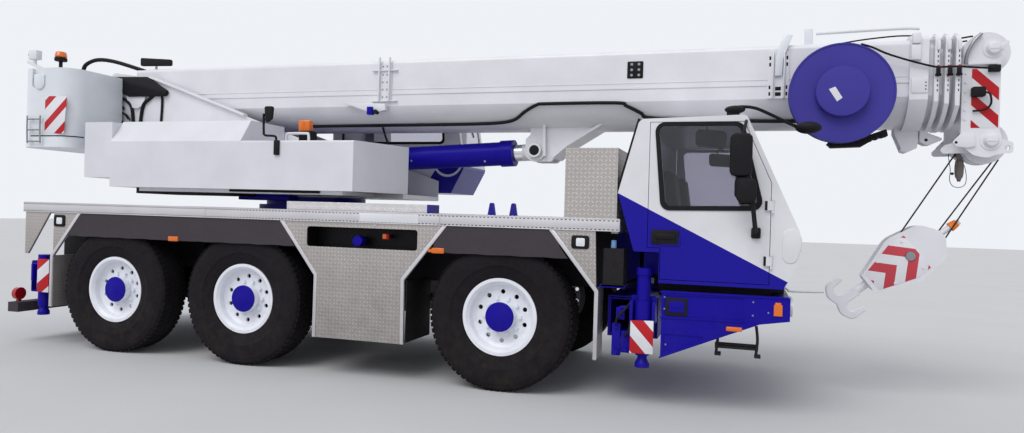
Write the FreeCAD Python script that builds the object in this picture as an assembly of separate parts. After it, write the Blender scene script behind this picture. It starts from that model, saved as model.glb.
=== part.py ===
import FreeCAD, Part
import math
import os

os.makedirs("parts", exist_ok=True)
V = FreeCAD.Vector

# Three-axle mobile crane, millimetres, +X forward, +Z up
# Lengths along X are counted from the front axle and moved to the middle of the overall length when saved

# Overall sizes
body_width = 2550
front_reach = 4290
rear_reach = -5900
half_body = body_width / 2
origin_x = (front_reach + rear_reach) / 2

# Fits and gaps
seat_gap = 0.3
moving_gap = 6
bearing_gap = 0.05

# Axles, knuckles and wheels
axle_1_x = 0
axle_spacing_front = 2770
axle_spacing_rear = 1650
tyre_radius = 680
tyre_width = 385
tyre_inset = 25
tyre_bead_radius = 318
tyre_facets = 48
rim_width = 300
rim_flange_radius = 356
rim_flange_thickness = 20
rim_wall = 18
rim_disc_thickness = 20
rim_disc_offset = 55
rim_hole_count = 10
rim_hole_circle = 226
rim_hole_radius = 22
hub_radius = 133
hub_face_offset = 146
spindle_radius = 60
spindle_reach = 60
kingpin_offset = 170
kingpin_radius = 38
knuckle_radius = 95
knuckle_height = 230
yoke_ear_thickness = 45
yoke_ear_radius = 60
axle_beam_radius = 105
differential_radius = 215
suspension_strut_radius = 55
suspension_strut_y = 300
prop_shaft_radius = 45

# Chassis frame, engine and deck
frame_rear_x = -5650
frame_front_x = 1150
frame_half_width = 400
frame_bottom_z = 900
frame_top_z = 1480
frame_plate = 12
nose_beam_half_width = 330
nose_beam_bottom_z = 935
nose_beam_top_z = 990
engine_front_x = 975
engine_length = 850
engine_width = 720
engine_bottom_z = 955
engine_top_z = 1555
deck_rear_x = -5676
deck_front_x = 1091
deck_edge_bottom_z = 1497
deck_top_z = 1602
deck_plate = 12
deck_edge_lip = 60
slew_x = -2690
slew_seat_radius = 640
slew_ring_radius = 560
slew_seat_top_z = 1660
slew_ring_top_z = 1740

# Tread plate panels and mudguards below the deck
panel_thickness = 25
panel_inset = 2
front_skirt_x = 886
rear_skirt_x = -5232
skirt_corner_z = 968
fender_bottom_z = 1245
fender_thickness = 6
arch_half_width = 540
arch_top_half_width = 380
arch_top_z = 1370

# Outriggers, one pair of beams in front and one behind
outrigger_front_x = 1300
outrigger_rear_x = -5460
outrigger_pitch = 215
beam_width = 190
beam_height = 330
beam_wall = 12
beam_bottom_z = 580
beam_inner_reach = 1080
box_wall = 12
box_half_width = 1060
jack_y = 1175
jack_tube_radius = 60
jack_tube_bottom_z = 440
jack_tube_top_front_z = 1190
jack_tube_top_rear_z = 1015
jack_rod_radius = 42
jack_foot_radius = 62
jack_foot_bottom_z = 335
light_bar_depth = 150
light_bar_bottom_z = 350
light_bar_top_z = 458

# Driver's cab
cab_rear_x = 1066
cab_nose_x = 2565
cab_half_width = 1275
cab_wall = 40
cab_seat_y = 600
cab_seat_width = 480
cab_bottom_z = 1075
cab_roof_front_z = 2494
cab_roof_rear_z = 2466
door_gap = 5
door_front_x = 2313
door_thickness = 42
door_hinge_y = cab_half_width + 12
door_hinge_x = 2325
door_pin_radius = 7
glass_thickness = 6

# Bumper
bumper_front_x = 2485
bumper_rear_x = 1463
bumper_top_z = 1015
bumper_wall = 14
bumper_recess = 8
bumper_band_z = 716
bumper_slot_count = 4
bumper_slot_pitch = 34
bumper_slot_height = 17
bumper_slot_half = 520
tow_lug_x = 2437
tow_lug_half_width = 40
tow_lug_bore = 14

# Superstructure
upper_bottom_z = 1752
upper_deck_z = 1800
upper_rear_x = -5300
upper_plate_half = 455
upper_plate_thickness = 30
boom_pivot_x = -4900
boom_pivot_z = 2900
boom_pin_radius = 75
cylinder_foot_x = -3400
cylinder_foot_z = 2120
cover_outer_y = 1250
cover_inner_y = 495
cover_rear_x = -4490
cover_step_x = -2820
cover_front_x = -1290
cover_high_z = 2522
cover_low_z = 2296
counterweight_rear_x = -5830
counterweight_front_x = -5083
counterweight_half_width = 1250
counterweight_bottom_z = 2230
counterweight_top_z = 3120
winch_x = -5560
winch_z = counterweight_top_z - 220
winch_radius = 190
winch_half_width = 330

# Operator's cab on the left of the superstructure
crane_cab_rear_x = -2800
crane_cab_front_x = -1050
crane_cab_sill_x = -1205
crane_cab_knee_z = 2150
crane_cab_inner_y = 500
crane_cab_outer_y = 1255
crane_cab_bottom_z = 1850
crane_cab_top_z = 3250
crane_cab_wall = 30

# Boom and its head
boom_half_width = 390
boom_bottom_z = 2505
boom_top_z = 3256
boom_wall = 12
boom_step = 34
boom_sag = 0.64
boom_rear_x = -5000
boom_collar_front_x = front_reach - 690
boom_collar_length = 148
boom_collar_flange = 32
boom_section_start = -4500
# seam and doubling plates on the boom's sides: x from, x to, z from, z to, thickness
boom_side_plates = [
    (-4200, boom_collar_front_x - boom_collar_length + 1, 2876, 2892, 7),
    (2276, 2463, 2757, 3193, 12), (-1720, -1560, 2796, 3200, 12),
]
boom_section_shift = 40
collar_pitch = 82
collar_length = 36
head_rear_x = front_reach - 403
head_front_x = front_reach - 109
head_half_width = 300
head_plate_thickness = 25
head_top_z = 3330
sheave_radius = 185
sheave_width = 50
sheave_groove = 22
sheave_pitch = 90
head_sheave_x = front_reach - 172
head_lower_sheave_z = 2374
head_upper_sheave_z = 3170
sheave_pin_radius = 40
head_eye_radius = 45
head_eye_bore = 22
head_eye_z = 2314
reel_x = front_reach - 1405
reel_z = 2760
reel_radius = 428
reel_width = 110
reel_hub_radius = 215

# Lift cylinder
lift_eye_x = 2
lift_eye_z = 2295
lift_eye_width = 200
lift_barrel_radius = 128
lift_bore_radius = 112
lift_rod_radius = 90
lift_barrel_start = 280
lift_barrel_front = lift_eye_x - cylinder_foot_x - 267
lift_gland_length = 120
lift_pin_radius = 55
lift_eye_radius = 105

# Hook block, its hook and the limit switch weight
block_axis_tilt = 39
block_sheave_x = front_reach - 730
block_sheave_z = 1345
block_sheave_radius = 170
block_pin_radius = 35
block_half_width = 110
block_cheek = 20
hook_shank_radius = 38
hook_thickness = 72
hook_edge = 8
weight_x = front_reach - 390
weight_top_z = 2140
weight_bottom_z = 1960
weight_radius = 50


# Shape helpers
def box(x0, x1, y0, y1, z0, z1):
    return Part.makeBox(x1 - x0, y1 - y0, z1 - z0, V(x0, y0, z0))


def rod(radius, start, end):
    start = V(*start)
    end = V(*end)
    return Part.makeCylinder(radius, (end - start).Length, start, end - start)


def tube(outer, inner, start, end):
    return rod(outer, start, end).cut(rod(inner, start, end))


def in_xz(p):
    return V(p.x, 0, p.y)


def in_yz(p):
    return V(0, p.x, p.y)


def in_xy(p):
    return V(p.x, p.y, 0)


def outline(corners, place):
    # corners hold u, v and a corner radius where the corner is round
    starts = []
    middles = []
    ends = []
    count = len(corners)
    for i, corner in enumerate(corners):
        here = V(corner[0], corner[1], 0)
        radius = corner[2] if len(corner) > 2 else 0
        if radius == 0:
            starts.append(here)
            middles.append(None)
            ends.append(here)
            continue
        before = corners[i - 1]
        after = corners[(i + 1) % count]
        back = (V(before[0], before[1], 0) - here).normalize()
        on = (V(after[0], after[1], 0) - here).normalize()
        half_angle = back.getAngle(on) / 2
        reach = radius / math.tan(half_angle)
        bisector = (back + on).normalize()
        centre = here + bisector * (radius / math.sin(half_angle))
        starts.append(here + back * reach)
        middles.append(centre - bisector * radius)
        ends.append(here + on * reach)
    edges = []
    for i in range(count):
        if middles[i] is not None:
            arc = Part.Arc(place(starts[i]), place(middles[i]), place(ends[i]))
            edges.append(arc.toShape())
        following = starts[(i + 1) % count]
        if (following - ends[i]).Length > 1e-6:
            edges.append(Part.makeLine(place(ends[i]), place(following)))
    return Part.Face(Part.Wire(edges))


def prism_y(corners, y0, y1):
    face = outline(corners, in_xz)
    face.translate(V(0, y0, 0))
    return face.extrude(V(0, y1 - y0, 0))


def prism_x(corners, x0, x1):
    face = outline(corners, in_yz)
    face.translate(V(x0, 0, 0))
    return face.extrude(V(x1 - x0, 0, 0))


def prism_z(corners, z0, z1):
    face = outline(corners, in_xy)
    face.translate(V(0, 0, z0))
    return face.extrude(V(0, 0, z1 - z0))


def inset(corners, amount):
    # Moves the sides of an outline inwards by the amount, outwards where it is negative
    turn = 0
    count = len(corners)
    for i, here in enumerate(corners):
        after = corners[(i + 1) % count]
        turn += here[0] * after[1] - here[1] * after[0]
    sign = 1 if turn > 0 else -1
    moved = []
    for i, here in enumerate(corners):
        before = corners[i - 1]
        after = corners[(i + 1) % count]
        first = V(here[0] - before[0], here[1] - before[1], 0).normalize()
        second = V(after[0] - here[0], after[1] - here[1], 0).normalize()
        normal_1 = V(-first.y, first.x, 0) * sign
        normal_2 = V(-second.y, second.x, 0) * sign
        step = (normal_1 + normal_2) * (amount / (1 + normal_1.dot(normal_2)))
        radius = max(here[2] - amount, 0) if len(here) > 2 else 0
        moved.append((here[0] + step.x, here[1] + step.y, radius))
    return moved


def strip(start, end, from_start, from_end, outer, inner):
    # Outline of a slab along a sloping line, set in from its ends, between two depths below it
    line = V(end[0] - start[0], end[1] - start[1], 0)
    along = V(line.x, line.y, 0).normalize()
    down = V(along.y, -along.x, 0)
    p = V(start[0], start[1], 0) + along * from_start
    q = V(end[0], end[1], 0) - along * from_end
    places = [p + down * outer, q + down * outer, q + down * inner, p + down * inner]
    return [(place.x, place.y) for place in places]


def ring(profile, centre):
    # profile holds places along the wheel's axle and radii; it turns about the axle
    face = outline(profile, lambda p: V(0, p.x, p.y))
    solid = face.revolve(V(0, 0, 0), V(0, 1, 0), 360)
    solid.translate(V(*centre))
    return solid


def sheave(radius, width, centre):
    # Disc with a groove for the rope in its rim
    half = width / 2
    lip = width * 0.24
    return ring(
        [(-half, 0), (-half, radius), (-lip, radius), (0, radius - sheave_groove), (lip, radius),
         (half, radius), (half, 0)], centre,
    )


def fused(shapes):
    return shapes[0].multiFuse(shapes[1:]).removeSplitter()


def mirrored(shape):
    return shape.mirror(V(0, 0, 0), V(0, 1, 0))


def both(shapes):
    return shapes + [mirrored(shape) for shape in shapes]


def save(node, shapes):
    solid = shapes[0].copy() if len(shapes) == 1 else Part.makeCompound(shapes)
    solid.translate(V(-origin_x, 0, 0))
    solid.exportStep("parts/" + node + ".step")


# Wheels and knuckles, one loop over three axles and two sides
axle_2_x = axle_1_x - axle_spacing_front
axle_3_x = axle_2_x - axle_spacing_rear
axles = {"1": axle_1_x, "2": axle_2_x, "3": axle_3_x}
sides = {"right": -1, "left": 1}
wheel_y = half_body - tyre_inset - tyre_width / 2
kingpin_y = wheel_y - kingpin_offset


def make_tyre(x):
    half = tyre_width / 2
    seat = tyre_bead_radius + seat_gap
    bead_half = rim_width / 2 - rim_flange_thickness - seat_gap
    # place along the axle, radius
    edge = [
        (bead_half, seat),
        (bead_half, rim_flange_radius + 5),
        (half - 2, (rim_flange_radius + tyre_radius) / 2 - 30),
        (half - 5, tyre_radius - 70),
        (half - 38, tyre_radius),
    ]
    loop = edge + [(-w, r) for w, r in reversed(edge)]
    # Flat facets keep a tyre light; one of them stands on the ground
    half_step = math.pi / tyre_facets
    rows = []
    for k in range(tyre_facets):
        angle = (2 * k + 1) * half_step
        out = V(math.cos(angle), 0, math.sin(angle)) / math.cos(half_step)
        rows.append([V(x, wheel_y + w, tyre_radius) + out * r for w, r in loop])
    faces = []
    for k, row in enumerate(rows):
        before = rows[k - 1]
        for i in range(len(loop)):
            corners = [before[i - 1], before[i], row[i], row[i - 1], before[i - 1]]
            faces.append(Part.Face(Part.makePolygon(corners)))
    return Part.Solid(Part.Shell(faces))


def rim_profile():
    half = rim_width / 2
    inner = half - rim_flange_thickness
    barrel_in = tyre_bead_radius - rim_wall
    disc = rim_disc_offset
    disc_back = disc - rim_disc_thickness
    bore = spindle_radius + bearing_gap
    return [
        (-half, barrel_in),
        (-half, rim_flange_radius),
        (-inner, rim_flange_radius),
        (-inner, tyre_bead_radius),
        (inner, tyre_bead_radius),
        (inner, rim_flange_radius),
        (half, rim_flange_radius),
        (half, rim_flange_radius - 30),
        (half - 26, barrel_in),
        (disc + 18, barrel_in - 12),
        (disc, barrel_in - 45),
        (disc, hub_radius),
        (hub_face_offset - 8, hub_radius),
        (hub_face_offset, hub_radius - 10),
        (hub_face_offset, 0),
        (spindle_reach, 0),
        (spindle_reach, bore),
        (-spindle_reach, bore),
        (-spindle_reach, hub_radius),
        (disc_back, hub_radius),
        (disc_back, barrel_in - 40),
        (disc_back + 16, barrel_in),
    ]


def make_rim(x):
    rim = ring(rim_profile(), (x, wheel_y, tyre_radius))
    y0 = wheel_y + rim_disc_offset - rim_disc_thickness - 1
    for k in range(rim_hole_count):
        angle = 2 * math.pi * (k + 0.5) / rim_hole_count
        hole_x = x + rim_hole_circle * math.cos(angle)
        hole_z = tyre_radius + rim_hole_circle * math.sin(angle)
        y1 = y0 + rim_disc_thickness + 2
        rim = rim.cut(rod(rim_hole_radius, (hole_x, y0, hole_z), (hole_x, y1, hole_z)))
    return rim


def make_knuckle(x):
    # Upright between the axle's ears, trunnions above and below, spindle and steering arm
    z = tyre_radius
    half = knuckle_height / 2
    shoulder_y = wheel_y - spindle_reach - seat_gap
    trunnion_half = half + yoke_ear_thickness
    upright = rod(knuckle_radius, (x, kingpin_y, z - half), (x, kingpin_y, z + half))
    trunnion = rod(
        kingpin_radius, (x, kingpin_y, z - trunnion_half), (x, kingpin_y, z + trunnion_half)
    )
    shoulder = rod(knuckle_radius, (x, kingpin_y, z), (x, shoulder_y, z))
    spindle = rod(
        spindle_radius, (x, kingpin_y, z), (x, wheel_y + spindle_reach - seat_gap, z)
    )
    arm = box(x - 215, x, kingpin_y - 30, kingpin_y + 15, z - 25, z + 25)
    return fused([upright, trunnion, shoulder, spindle, arm])


for number, x in axles.items():
    tyre = make_tyre(x)
    rim = make_rim(x)
    knuckle = make_knuckle(x)
    for side, sign in sides.items():
        pieces = {"tyre": tyre, "rim": rim, "knuckle": knuckle}
        for piece, shape in pieces.items():
            solid = shape if sign > 0 else mirrored(shape)
            save(piece + "_" + number + "_" + side, [solid])


# Axle beams with their ears and struts, the shafts between them and the engine block
def make_axle(x):
    z = tyre_radius
    half = knuckle_height / 2 + moving_gap
    ear_inner = kingpin_y - knuckle_radius - moving_gap
    beam_end = ear_inner - 30
    neck = Part.makeCone(axle_beam_radius, 80, beam_end - 150, V(x, 150, z), V(0, 1, 0))
    web = box(
        x - yoke_ear_radius, x + yoke_ear_radius, beam_end - 20, ear_inner,
        z - half - yoke_ear_thickness, z + half + yoke_ear_thickness,
    )
    strut = rod(
        suspension_strut_radius, (x, suspension_strut_y, z),
        (x, suspension_strut_y, frame_bottom_z - seat_gap),
    )
    side = [neck, web, strut]
    for level in (z + half, z - half - yoke_ear_thickness):
        top = level + yoke_ear_thickness
        arm = box(
            x - yoke_ear_radius, x + yoke_ear_radius, beam_end - 20, kingpin_y, level, top
        )
        arm = arm.fuse(rod(yoke_ear_radius, (x, kingpin_y, level), (x, kingpin_y, top)))
        bore = rod(
            kingpin_radius + bearing_gap, (x, kingpin_y, level - 1), (x, kingpin_y, top + 1)
        )
        side.append(arm.cut(bore))
    middle = rod(axle_beam_radius, (x, -160, z), (x, 160, z))
    bulb = Part.makeSphere(differential_radius, V(x, 0, z))
    return fused([middle, bulb] + side + [mirrored(shape) for shape in side])


def make_driveline():
    z = tyre_radius
    pieces = [make_axle(x) for x in axles.values()]
    for front, rear in ((axle_1_x, axle_2_x), (axle_2_x, axle_3_x)):
        reach = differential_radius + seat_gap
        pieces.append(rod(prop_shaft_radius, (rear + reach, 0, z), (front - reach, 0, z)))
    pieces.append(
        box(
            engine_front_x - engine_length, engine_front_x, -engine_width / 2, engine_width / 2,
            engine_bottom_z, engine_top_z,
        )
    )
    return pieces


# Chassis frame with outrigger boxes and the slewing ring's seat
box_top_z = beam_bottom_z + beam_height + moving_gap + box_wall


def outrigger_box(x):
    low = x - outrigger_pitch - beam_width / 2 - moving_gap - box_wall
    high = x + beam_width / 2 + moving_gap + box_wall
    bottom = beam_bottom_z - seat_gap - box_wall
    return box(low, high, -box_half_width, box_half_width, bottom, box_top_z)


def beam_channel(x):
    half = beam_width / 2 + moving_gap
    return box(
        x - half, x + half, -box_half_width - 1, box_half_width + 1,
        beam_bottom_z - seat_gap, box_top_z - box_wall,
    )


def make_frame():
    top = frame_top_z
    half = frame_half_width
    engine_rear_x = engine_front_x - engine_length
    main_front_x = engine_rear_x - 20
    shapes = [box(frame_rear_x, main_front_x, -half, half, frame_bottom_z, top)]
    for y in (-half, half - frame_plate):
        shapes.append(
            box(main_front_x - 1, frame_front_x, y, y + frame_plate, box_top_z - 1, top)
        )
    for x in (engine_rear_x + 120, engine_front_x - 120):
        shapes.append(
            box(x - 40, x + 40, -half + 1, half - 1, box_top_z, engine_bottom_z - seat_gap)
        )
    # Beam that carries the cab and ends behind the bumper
    shapes.append(
        box(
            frame_front_x - 60, bumper_front_x - bumper_wall - seat_gap,
            -nose_beam_half_width, nose_beam_half_width, nose_beam_bottom_z, nose_beam_top_z,
        )
    )
    shapes.append(
        box(
            frame_front_x - 60, frame_front_x, -half + 1, half - 1, box_top_z - 1, nose_beam_top_z
        )
    )
    for x in (cab_rear_x + 500, cab_nose_x - 320):
        for y in (-nose_beam_half_width, nose_beam_half_width - 100):
            shapes.append(
                box(x, x + 100, y, y + 100, nose_beam_top_z - 1, cab_bottom_z - seat_gap)
            )
    # Turntable seat and the fixed half of the slewing ring
    shapes.append(rod(slew_seat_radius, (slew_x, 0, top), (slew_x, 0, slew_seat_top_z)))
    shapes.append(
        rod(slew_ring_radius, (slew_x, 0, slew_seat_top_z - 5), (slew_x, 0, slew_ring_top_z))
    )
    shapes.append(outrigger_box(outrigger_front_x))
    shapes.append(outrigger_box(outrigger_rear_x))
    frame = fused(shapes)
    for x in (outrigger_front_x, outrigger_rear_x):
        frame = frame.cut(beam_channel(x)).cut(beam_channel(x - outrigger_pitch))
    return [frame]


def make_deck():
    outer = half_body
    plate = box(deck_rear_x, deck_front_x, -outer, outer, deck_top_z - deck_plate, deck_top_z)
    hole = rod(
        slew_seat_radius + 20, (slew_x, 0, deck_edge_bottom_z - 50), (slew_x, 0, deck_top_z + 50)
    )
    shapes = []
    for y in (-outer, outer - deck_edge_lip):
        shapes.append(
            box(deck_rear_x, deck_front_x, y, y + deck_edge_lip, deck_edge_bottom_z, deck_top_z)
        )
    engine_rear_x = engine_front_x - engine_length
    crosses = [
        deck_rear_x + 40, axle_3_x, axle_2_x - 800, slew_x + 900, engine_rear_x - 80,
        deck_front_x - 50,
    ]
    for x in crosses:
        shapes.append(
            box(
                x - 30, x + 30, -outer + 40, outer - 40, frame_top_z + seat_gap,
                deck_top_z - deck_plate,
            )
        )
    # Flat locker along the right edge and the lugs that hold the boom's support
    shapes.append(box(-2281, -731, -1200, -950, deck_top_z - 1, deck_top_z + 88))
    for x in (-500, -255):
        shapes.append(
            prism_y(
                [(x - 45, deck_top_z - 1), (x + 45, deck_top_z - 1), (x + 22, deck_top_z + 138, 18),
                 (x - 22, deck_top_z + 138, 18)], -60, -30
            )
        )
    return [fused([plate] + shapes).cut(hole)]


skirt_top_z = deck_edge_bottom_z - seat_gap
middle_skirt = [
    (-2305, skirt_top_z), (-511, skirt_top_z), (-931, 974), (-923, 367), (-1904, 367), (-1901, 971),
]
front_skirt = [
    (front_skirt_x - 423, skirt_top_z), (front_skirt_x - 6, skirt_top_z),
    (front_skirt_x + 14, skirt_corner_z), (front_skirt_x, skirt_corner_z),
]
rear_skirt = [
    (rear_skirt_x, skirt_top_z), (rear_skirt_x + 385, skirt_top_z),
    (rear_skirt_x, skirt_corner_z + 43),
]


def make_side_panels():
    outer = half_body - panel_inset
    inner = outer - panel_thickness
    middle = prism_y(middle_skirt, -outer, -inner)
    window = prism_y(
        [(-1995, 1253, 30), (-806, 1253, 30), (-806, 1449, 30), (-1995, 1449, 30)],
        -outer - 5, -inner + 5,
    )
    locker = box(-2000, -800, -inner - 1, -inner + 200, 1180, 1470)
    locker = locker.cut(box(-1990, -810, -inner - 5, -inner + 190, 1190, 1460))
    middle = fused([middle.cut(window), locker])
    top = skirt_top_z
    flap = outer - 330
    front = fused([
        prism_y(front_skirt, -outer, -inner),
        box(
            front_skirt_x - 1, front_skirt_x + 19, -outer, -flap, skirt_corner_z - 591,
            skirt_corner_z + 32,
        ),
    ])
    rear = fused([
        prism_y(rear_skirt, -outer, -inner),
        box(
            rear_skirt_x - 18, rear_skirt_x + 7, -outer, -flap, skirt_corner_z - 520,
            skirt_corner_z + 52,
        ),
    ])
    corner_x = deck_rear_x + 32
    corner_z = skirt_corner_z + 59
    corner = prism_y(
        [(corner_x, top), (corner_x + 354, top), (corner_x + 44, corner_z), (corner_x, corner_z)],
        -outer, -inner,
    )
    cab_box = box(
        596, cab_rear_x - moving_gap, -half_body, -half_body + 560, deck_top_z + seat_gap, 2220
    )
    return both([middle, front, rear, corner, cab_box])


def make_fenders():
    # Plastic mudguards: a valance below the deck's edge, open over each wheel, and a crown
    outer = half_body - 1
    top = deck_edge_bottom_z - seat_gap
    crown_z = frame_top_z - seat_gap
    spans = (
        (axle_3_x - 560, axle_2_x + 600, (axle_3_x, axle_2_x)),
        (axle_1_x - 640, axle_1_x + 560, (axle_1_x,)),
    )
    shapes = []
    for start, end, wheels in spans:
        valance = box(start, end, -outer, -outer + fender_thickness, fender_bottom_z, top)
        for x in wheels:
            arch = [
                (x - arch_half_width, fender_bottom_z - 1), (x + arch_half_width, fender_bottom_z - 1),
                (x + arch_top_half_width, arch_top_z), (x - arch_top_half_width, arch_top_z),
            ]
            valance = valance.cut(prism_y(arch, -outer - 1, -outer + fender_thickness + 1))
        crown = box(
            start, end, -outer + 1, -frame_half_width - 40, crown_z - fender_thickness, crown_z
        )
        fender = fused([valance, crown])
        for skirt in (middle_skirt, front_skirt, rear_skirt):
            around = inset(skirt, -seat_gap)
            behind = -half_body + panel_inset + panel_thickness + seat_gap
            fender = fender.cut(prism_y(around, -outer - 1, behind))
        shapes.append(fender)
    shapes = both(shapes)
    # Fluid tank behind the cab on its shelf, on the right
    tank = box(952, 1128, -half_body + 25, -half_body + 260, 1040, 1350)
    shelf = box(940, 1140, -half_body + 20, -half_body + 300, 1020, 1040 - seat_gap)
    post = box(1100, 1140, -half_body + 60, -frame_half_width, 1000, 1030)
    # Rear light bar under the outrigger box
    bar_front_x = rear_reach + light_bar_depth
    bar = box(
        rear_reach, bar_front_x, -half_body + 20, half_body - 20, light_bar_bottom_z, light_bar_top_z
    )
    hangers = [
        box(
            bar_front_x - 45, bar_front_x, y - 30, y + 30, light_bar_top_z - 1,
            beam_bottom_z - 2 * seat_gap - box_wall,
        )
        for y in (-500, 500)
    ]
    return shapes + [tank, fused([shelf, post]), fused([bar] + hangers)]


# Outrigger beams with their jack tubes, and the jacks
def make_beam(x, tube_top):
    half = beam_width / 2
    top = beam_bottom_z + beam_height
    shell = box(x - half, x + half, -jack_y + 40, beam_inner_reach, beam_bottom_z, top)
    hollow = box(
        x - half + beam_wall, x + half - beam_wall, -jack_y + 120, beam_inner_reach + 1,
        beam_bottom_z + beam_wall, top - beam_wall,
    )
    low = jack_tube_bottom_z
    jack = rod(jack_tube_radius, (x, -jack_y, low), (x, -jack_y, tube_top))
    cap = rod(jack_tube_radius + 6, (x, -jack_y, tube_top - 45), (x, -jack_y, tube_top))
    clamp = rod(jack_tube_radius + 16, (x, -jack_y, beam_bottom_z + 40), (x, -jack_y, top))
    ears = box(x - half - 10, x + half + 10, -jack_y + 15, -jack_y + 55, top - 60, top + 40)
    bore = rod(jack_rod_radius + bearing_gap, (x, -jack_y, low - 1), (x, -jack_y, tube_top - 30))
    return fused([shell.cut(hollow), jack, cap, clamp, ears]).cut(bore)


def make_jack(x, tube_top):
    low = jack_foot_bottom_z
    shaft = rod(jack_rod_radius, (x, -jack_y, low + 20), (x, -jack_y, tube_top - 60))
    foot = rod(jack_foot_radius, (x, -jack_y, low), (x, -jack_y, low + 35))
    neck = Part.makeCone(jack_foot_radius, jack_rod_radius, 40, V(x, -jack_y, low + 35), V(0, 0, 1))
    return fused([shaft, foot, neck])


ends = {
    "front": (outrigger_front_x, jack_tube_top_front_z),
    "rear": (outrigger_rear_x, jack_tube_top_rear_z),
}
for end, (x, tube_top) in ends.items():
    left_x = x - outrigger_pitch
    save("outrigger_beam_" + end + "_right", [make_beam(x, tube_top)])
    save("outrigger_jack_" + end + "_right", [make_jack(x, tube_top)])
    save("outrigger_beam_" + end + "_left", [mirrored(make_beam(left_x, tube_top))])
    save("outrigger_jack_" + end + "_left", [mirrored(make_jack(left_x, tube_top))])


# Driver's cab, its doors, glass, seats, bumper and small fittings
screen_top = (2108, cab_roof_front_z)
screen_foot = (2540, 1545)
cab_side = [
    (1430, cab_bottom_z), (1430, 1335), (1215, 1335), (cab_rear_x, 1831),
    (1236, cab_roof_rear_z, 60), (screen_top[0], screen_top[1], 50),
    (screen_foot[0], screen_foot[1], 60), (cab_nose_x, 1442, 80), (2497, 1198),
    (2425, cab_bottom_z),
]
door_side = [
    (1440, 1110), (door_front_x, 1110), (door_front_x, 1935), (2090, 2435), (1330, 2435),
    (1330, 1375), (1440, 1375),
]
window_side = [
    (1474, 1729, 50), (2219, 1746, 50), (2054, 2400, 50), (1401, 2400, 50),
]


def make_cab():
    shell = prism_y(cab_side, -cab_half_width, cab_half_width)
    inner = prism_y(
        inset(cab_side, cab_wall), -cab_half_width + cab_wall, cab_half_width - cab_wall
    )
    cab = shell.cut(inner)
    opening = prism_y(
        inset(door_side, -door_gap), -cab_half_width - 1,
        -cab_half_width + door_thickness + moving_gap,
    )
    cab = cab.cut(opening).cut(mirrored(opening))
    screen = strip(screen_top, screen_foot, 90, 70, -20, cab_wall + 20)
    cab = cab.cut(prism_y(screen, -cab_half_width + 120, cab_half_width - 120))
    pins = []
    for z in (1300, 1750):
        lugs = [
            box(
                door_front_x + door_gap + 1, door_hinge_x + 12, -door_hinge_y - 12,
                -cab_half_width + 20, level, level + 18
            )
            for level in (z - 60, z + 42)
        ]
        pin = rod(door_pin_radius, (door_hinge_x, -door_hinge_y, z - 50), (door_hinge_x, -door_hinge_y, z + 50))
        pins.append(fused(lugs + [pin]))
    return [fused([cab] + both(pins))]


def make_door():
    outer = cab_half_width
    panel = prism_y(door_side, -outer, -outer + door_thickness)
    panel = panel.cut(prism_y(window_side, -outer - 1, -outer + door_thickness + 1))
    pieces = [panel, box(1450, 1600, -outer - 14, -outer + 4, 1400, 1470)]
    for z in (1300, 1750):
        leaf = box(door_front_x - 45, door_hinge_x, -door_hinge_y - 12, -outer + 5, z - 38, z + 38)
        leaf = leaf.cut(box(door_hinge_x - 14, door_hinge_x + 1, -outer - 2, -outer + 10, z - 40, z + 40))
        eye = rod(
            12, (door_hinge_x, -door_hinge_y, z - 38), (door_hinge_x, -door_hinge_y, z + 38)
        )
        bore = rod(
            door_pin_radius + bearing_gap, (door_hinge_x, -door_hinge_y, z - 39),
            (door_hinge_x, -door_hinge_y, z + 39),
        )
        pieces.append(leaf.fuse(eye).cut(bore))
    # Mirror heads on a bent tube from the door
    head_y = -outer - 215
    for x0, x1, z0, z1 in ((1995, 2150, 1985, 2300), (2030, 2190, 1795, 1965)):
        pieces.append(
            prism_y(
                [(x0, z0, 40), (x1, z0, 40), (x1, z1, 40), (x0, z1, 40)], head_y - 25, head_y + 25
            )
        )
    pieces.append(rod(12, (2195, -outer + 5, 1526), (2195, head_y, 1526)))
    pieces.append(rod(12, (2195, head_y, 1520), (2100, head_y, 2290)))
    return [fused(pieces)]


def make_door_glass():
    pane = inset(window_side, seat_gap)
    return [prism_y(pane, -cab_half_width + 18, -cab_half_width + 18 + glass_thickness)]


def make_cab_glass():
    pane = strip(
        screen_top, screen_foot, 90 + seat_gap, 70 + seat_gap, 15, 15 + glass_thickness
    )
    half = cab_half_width - 120 - seat_gap
    return [prism_y(pane, -half, half)]


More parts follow.
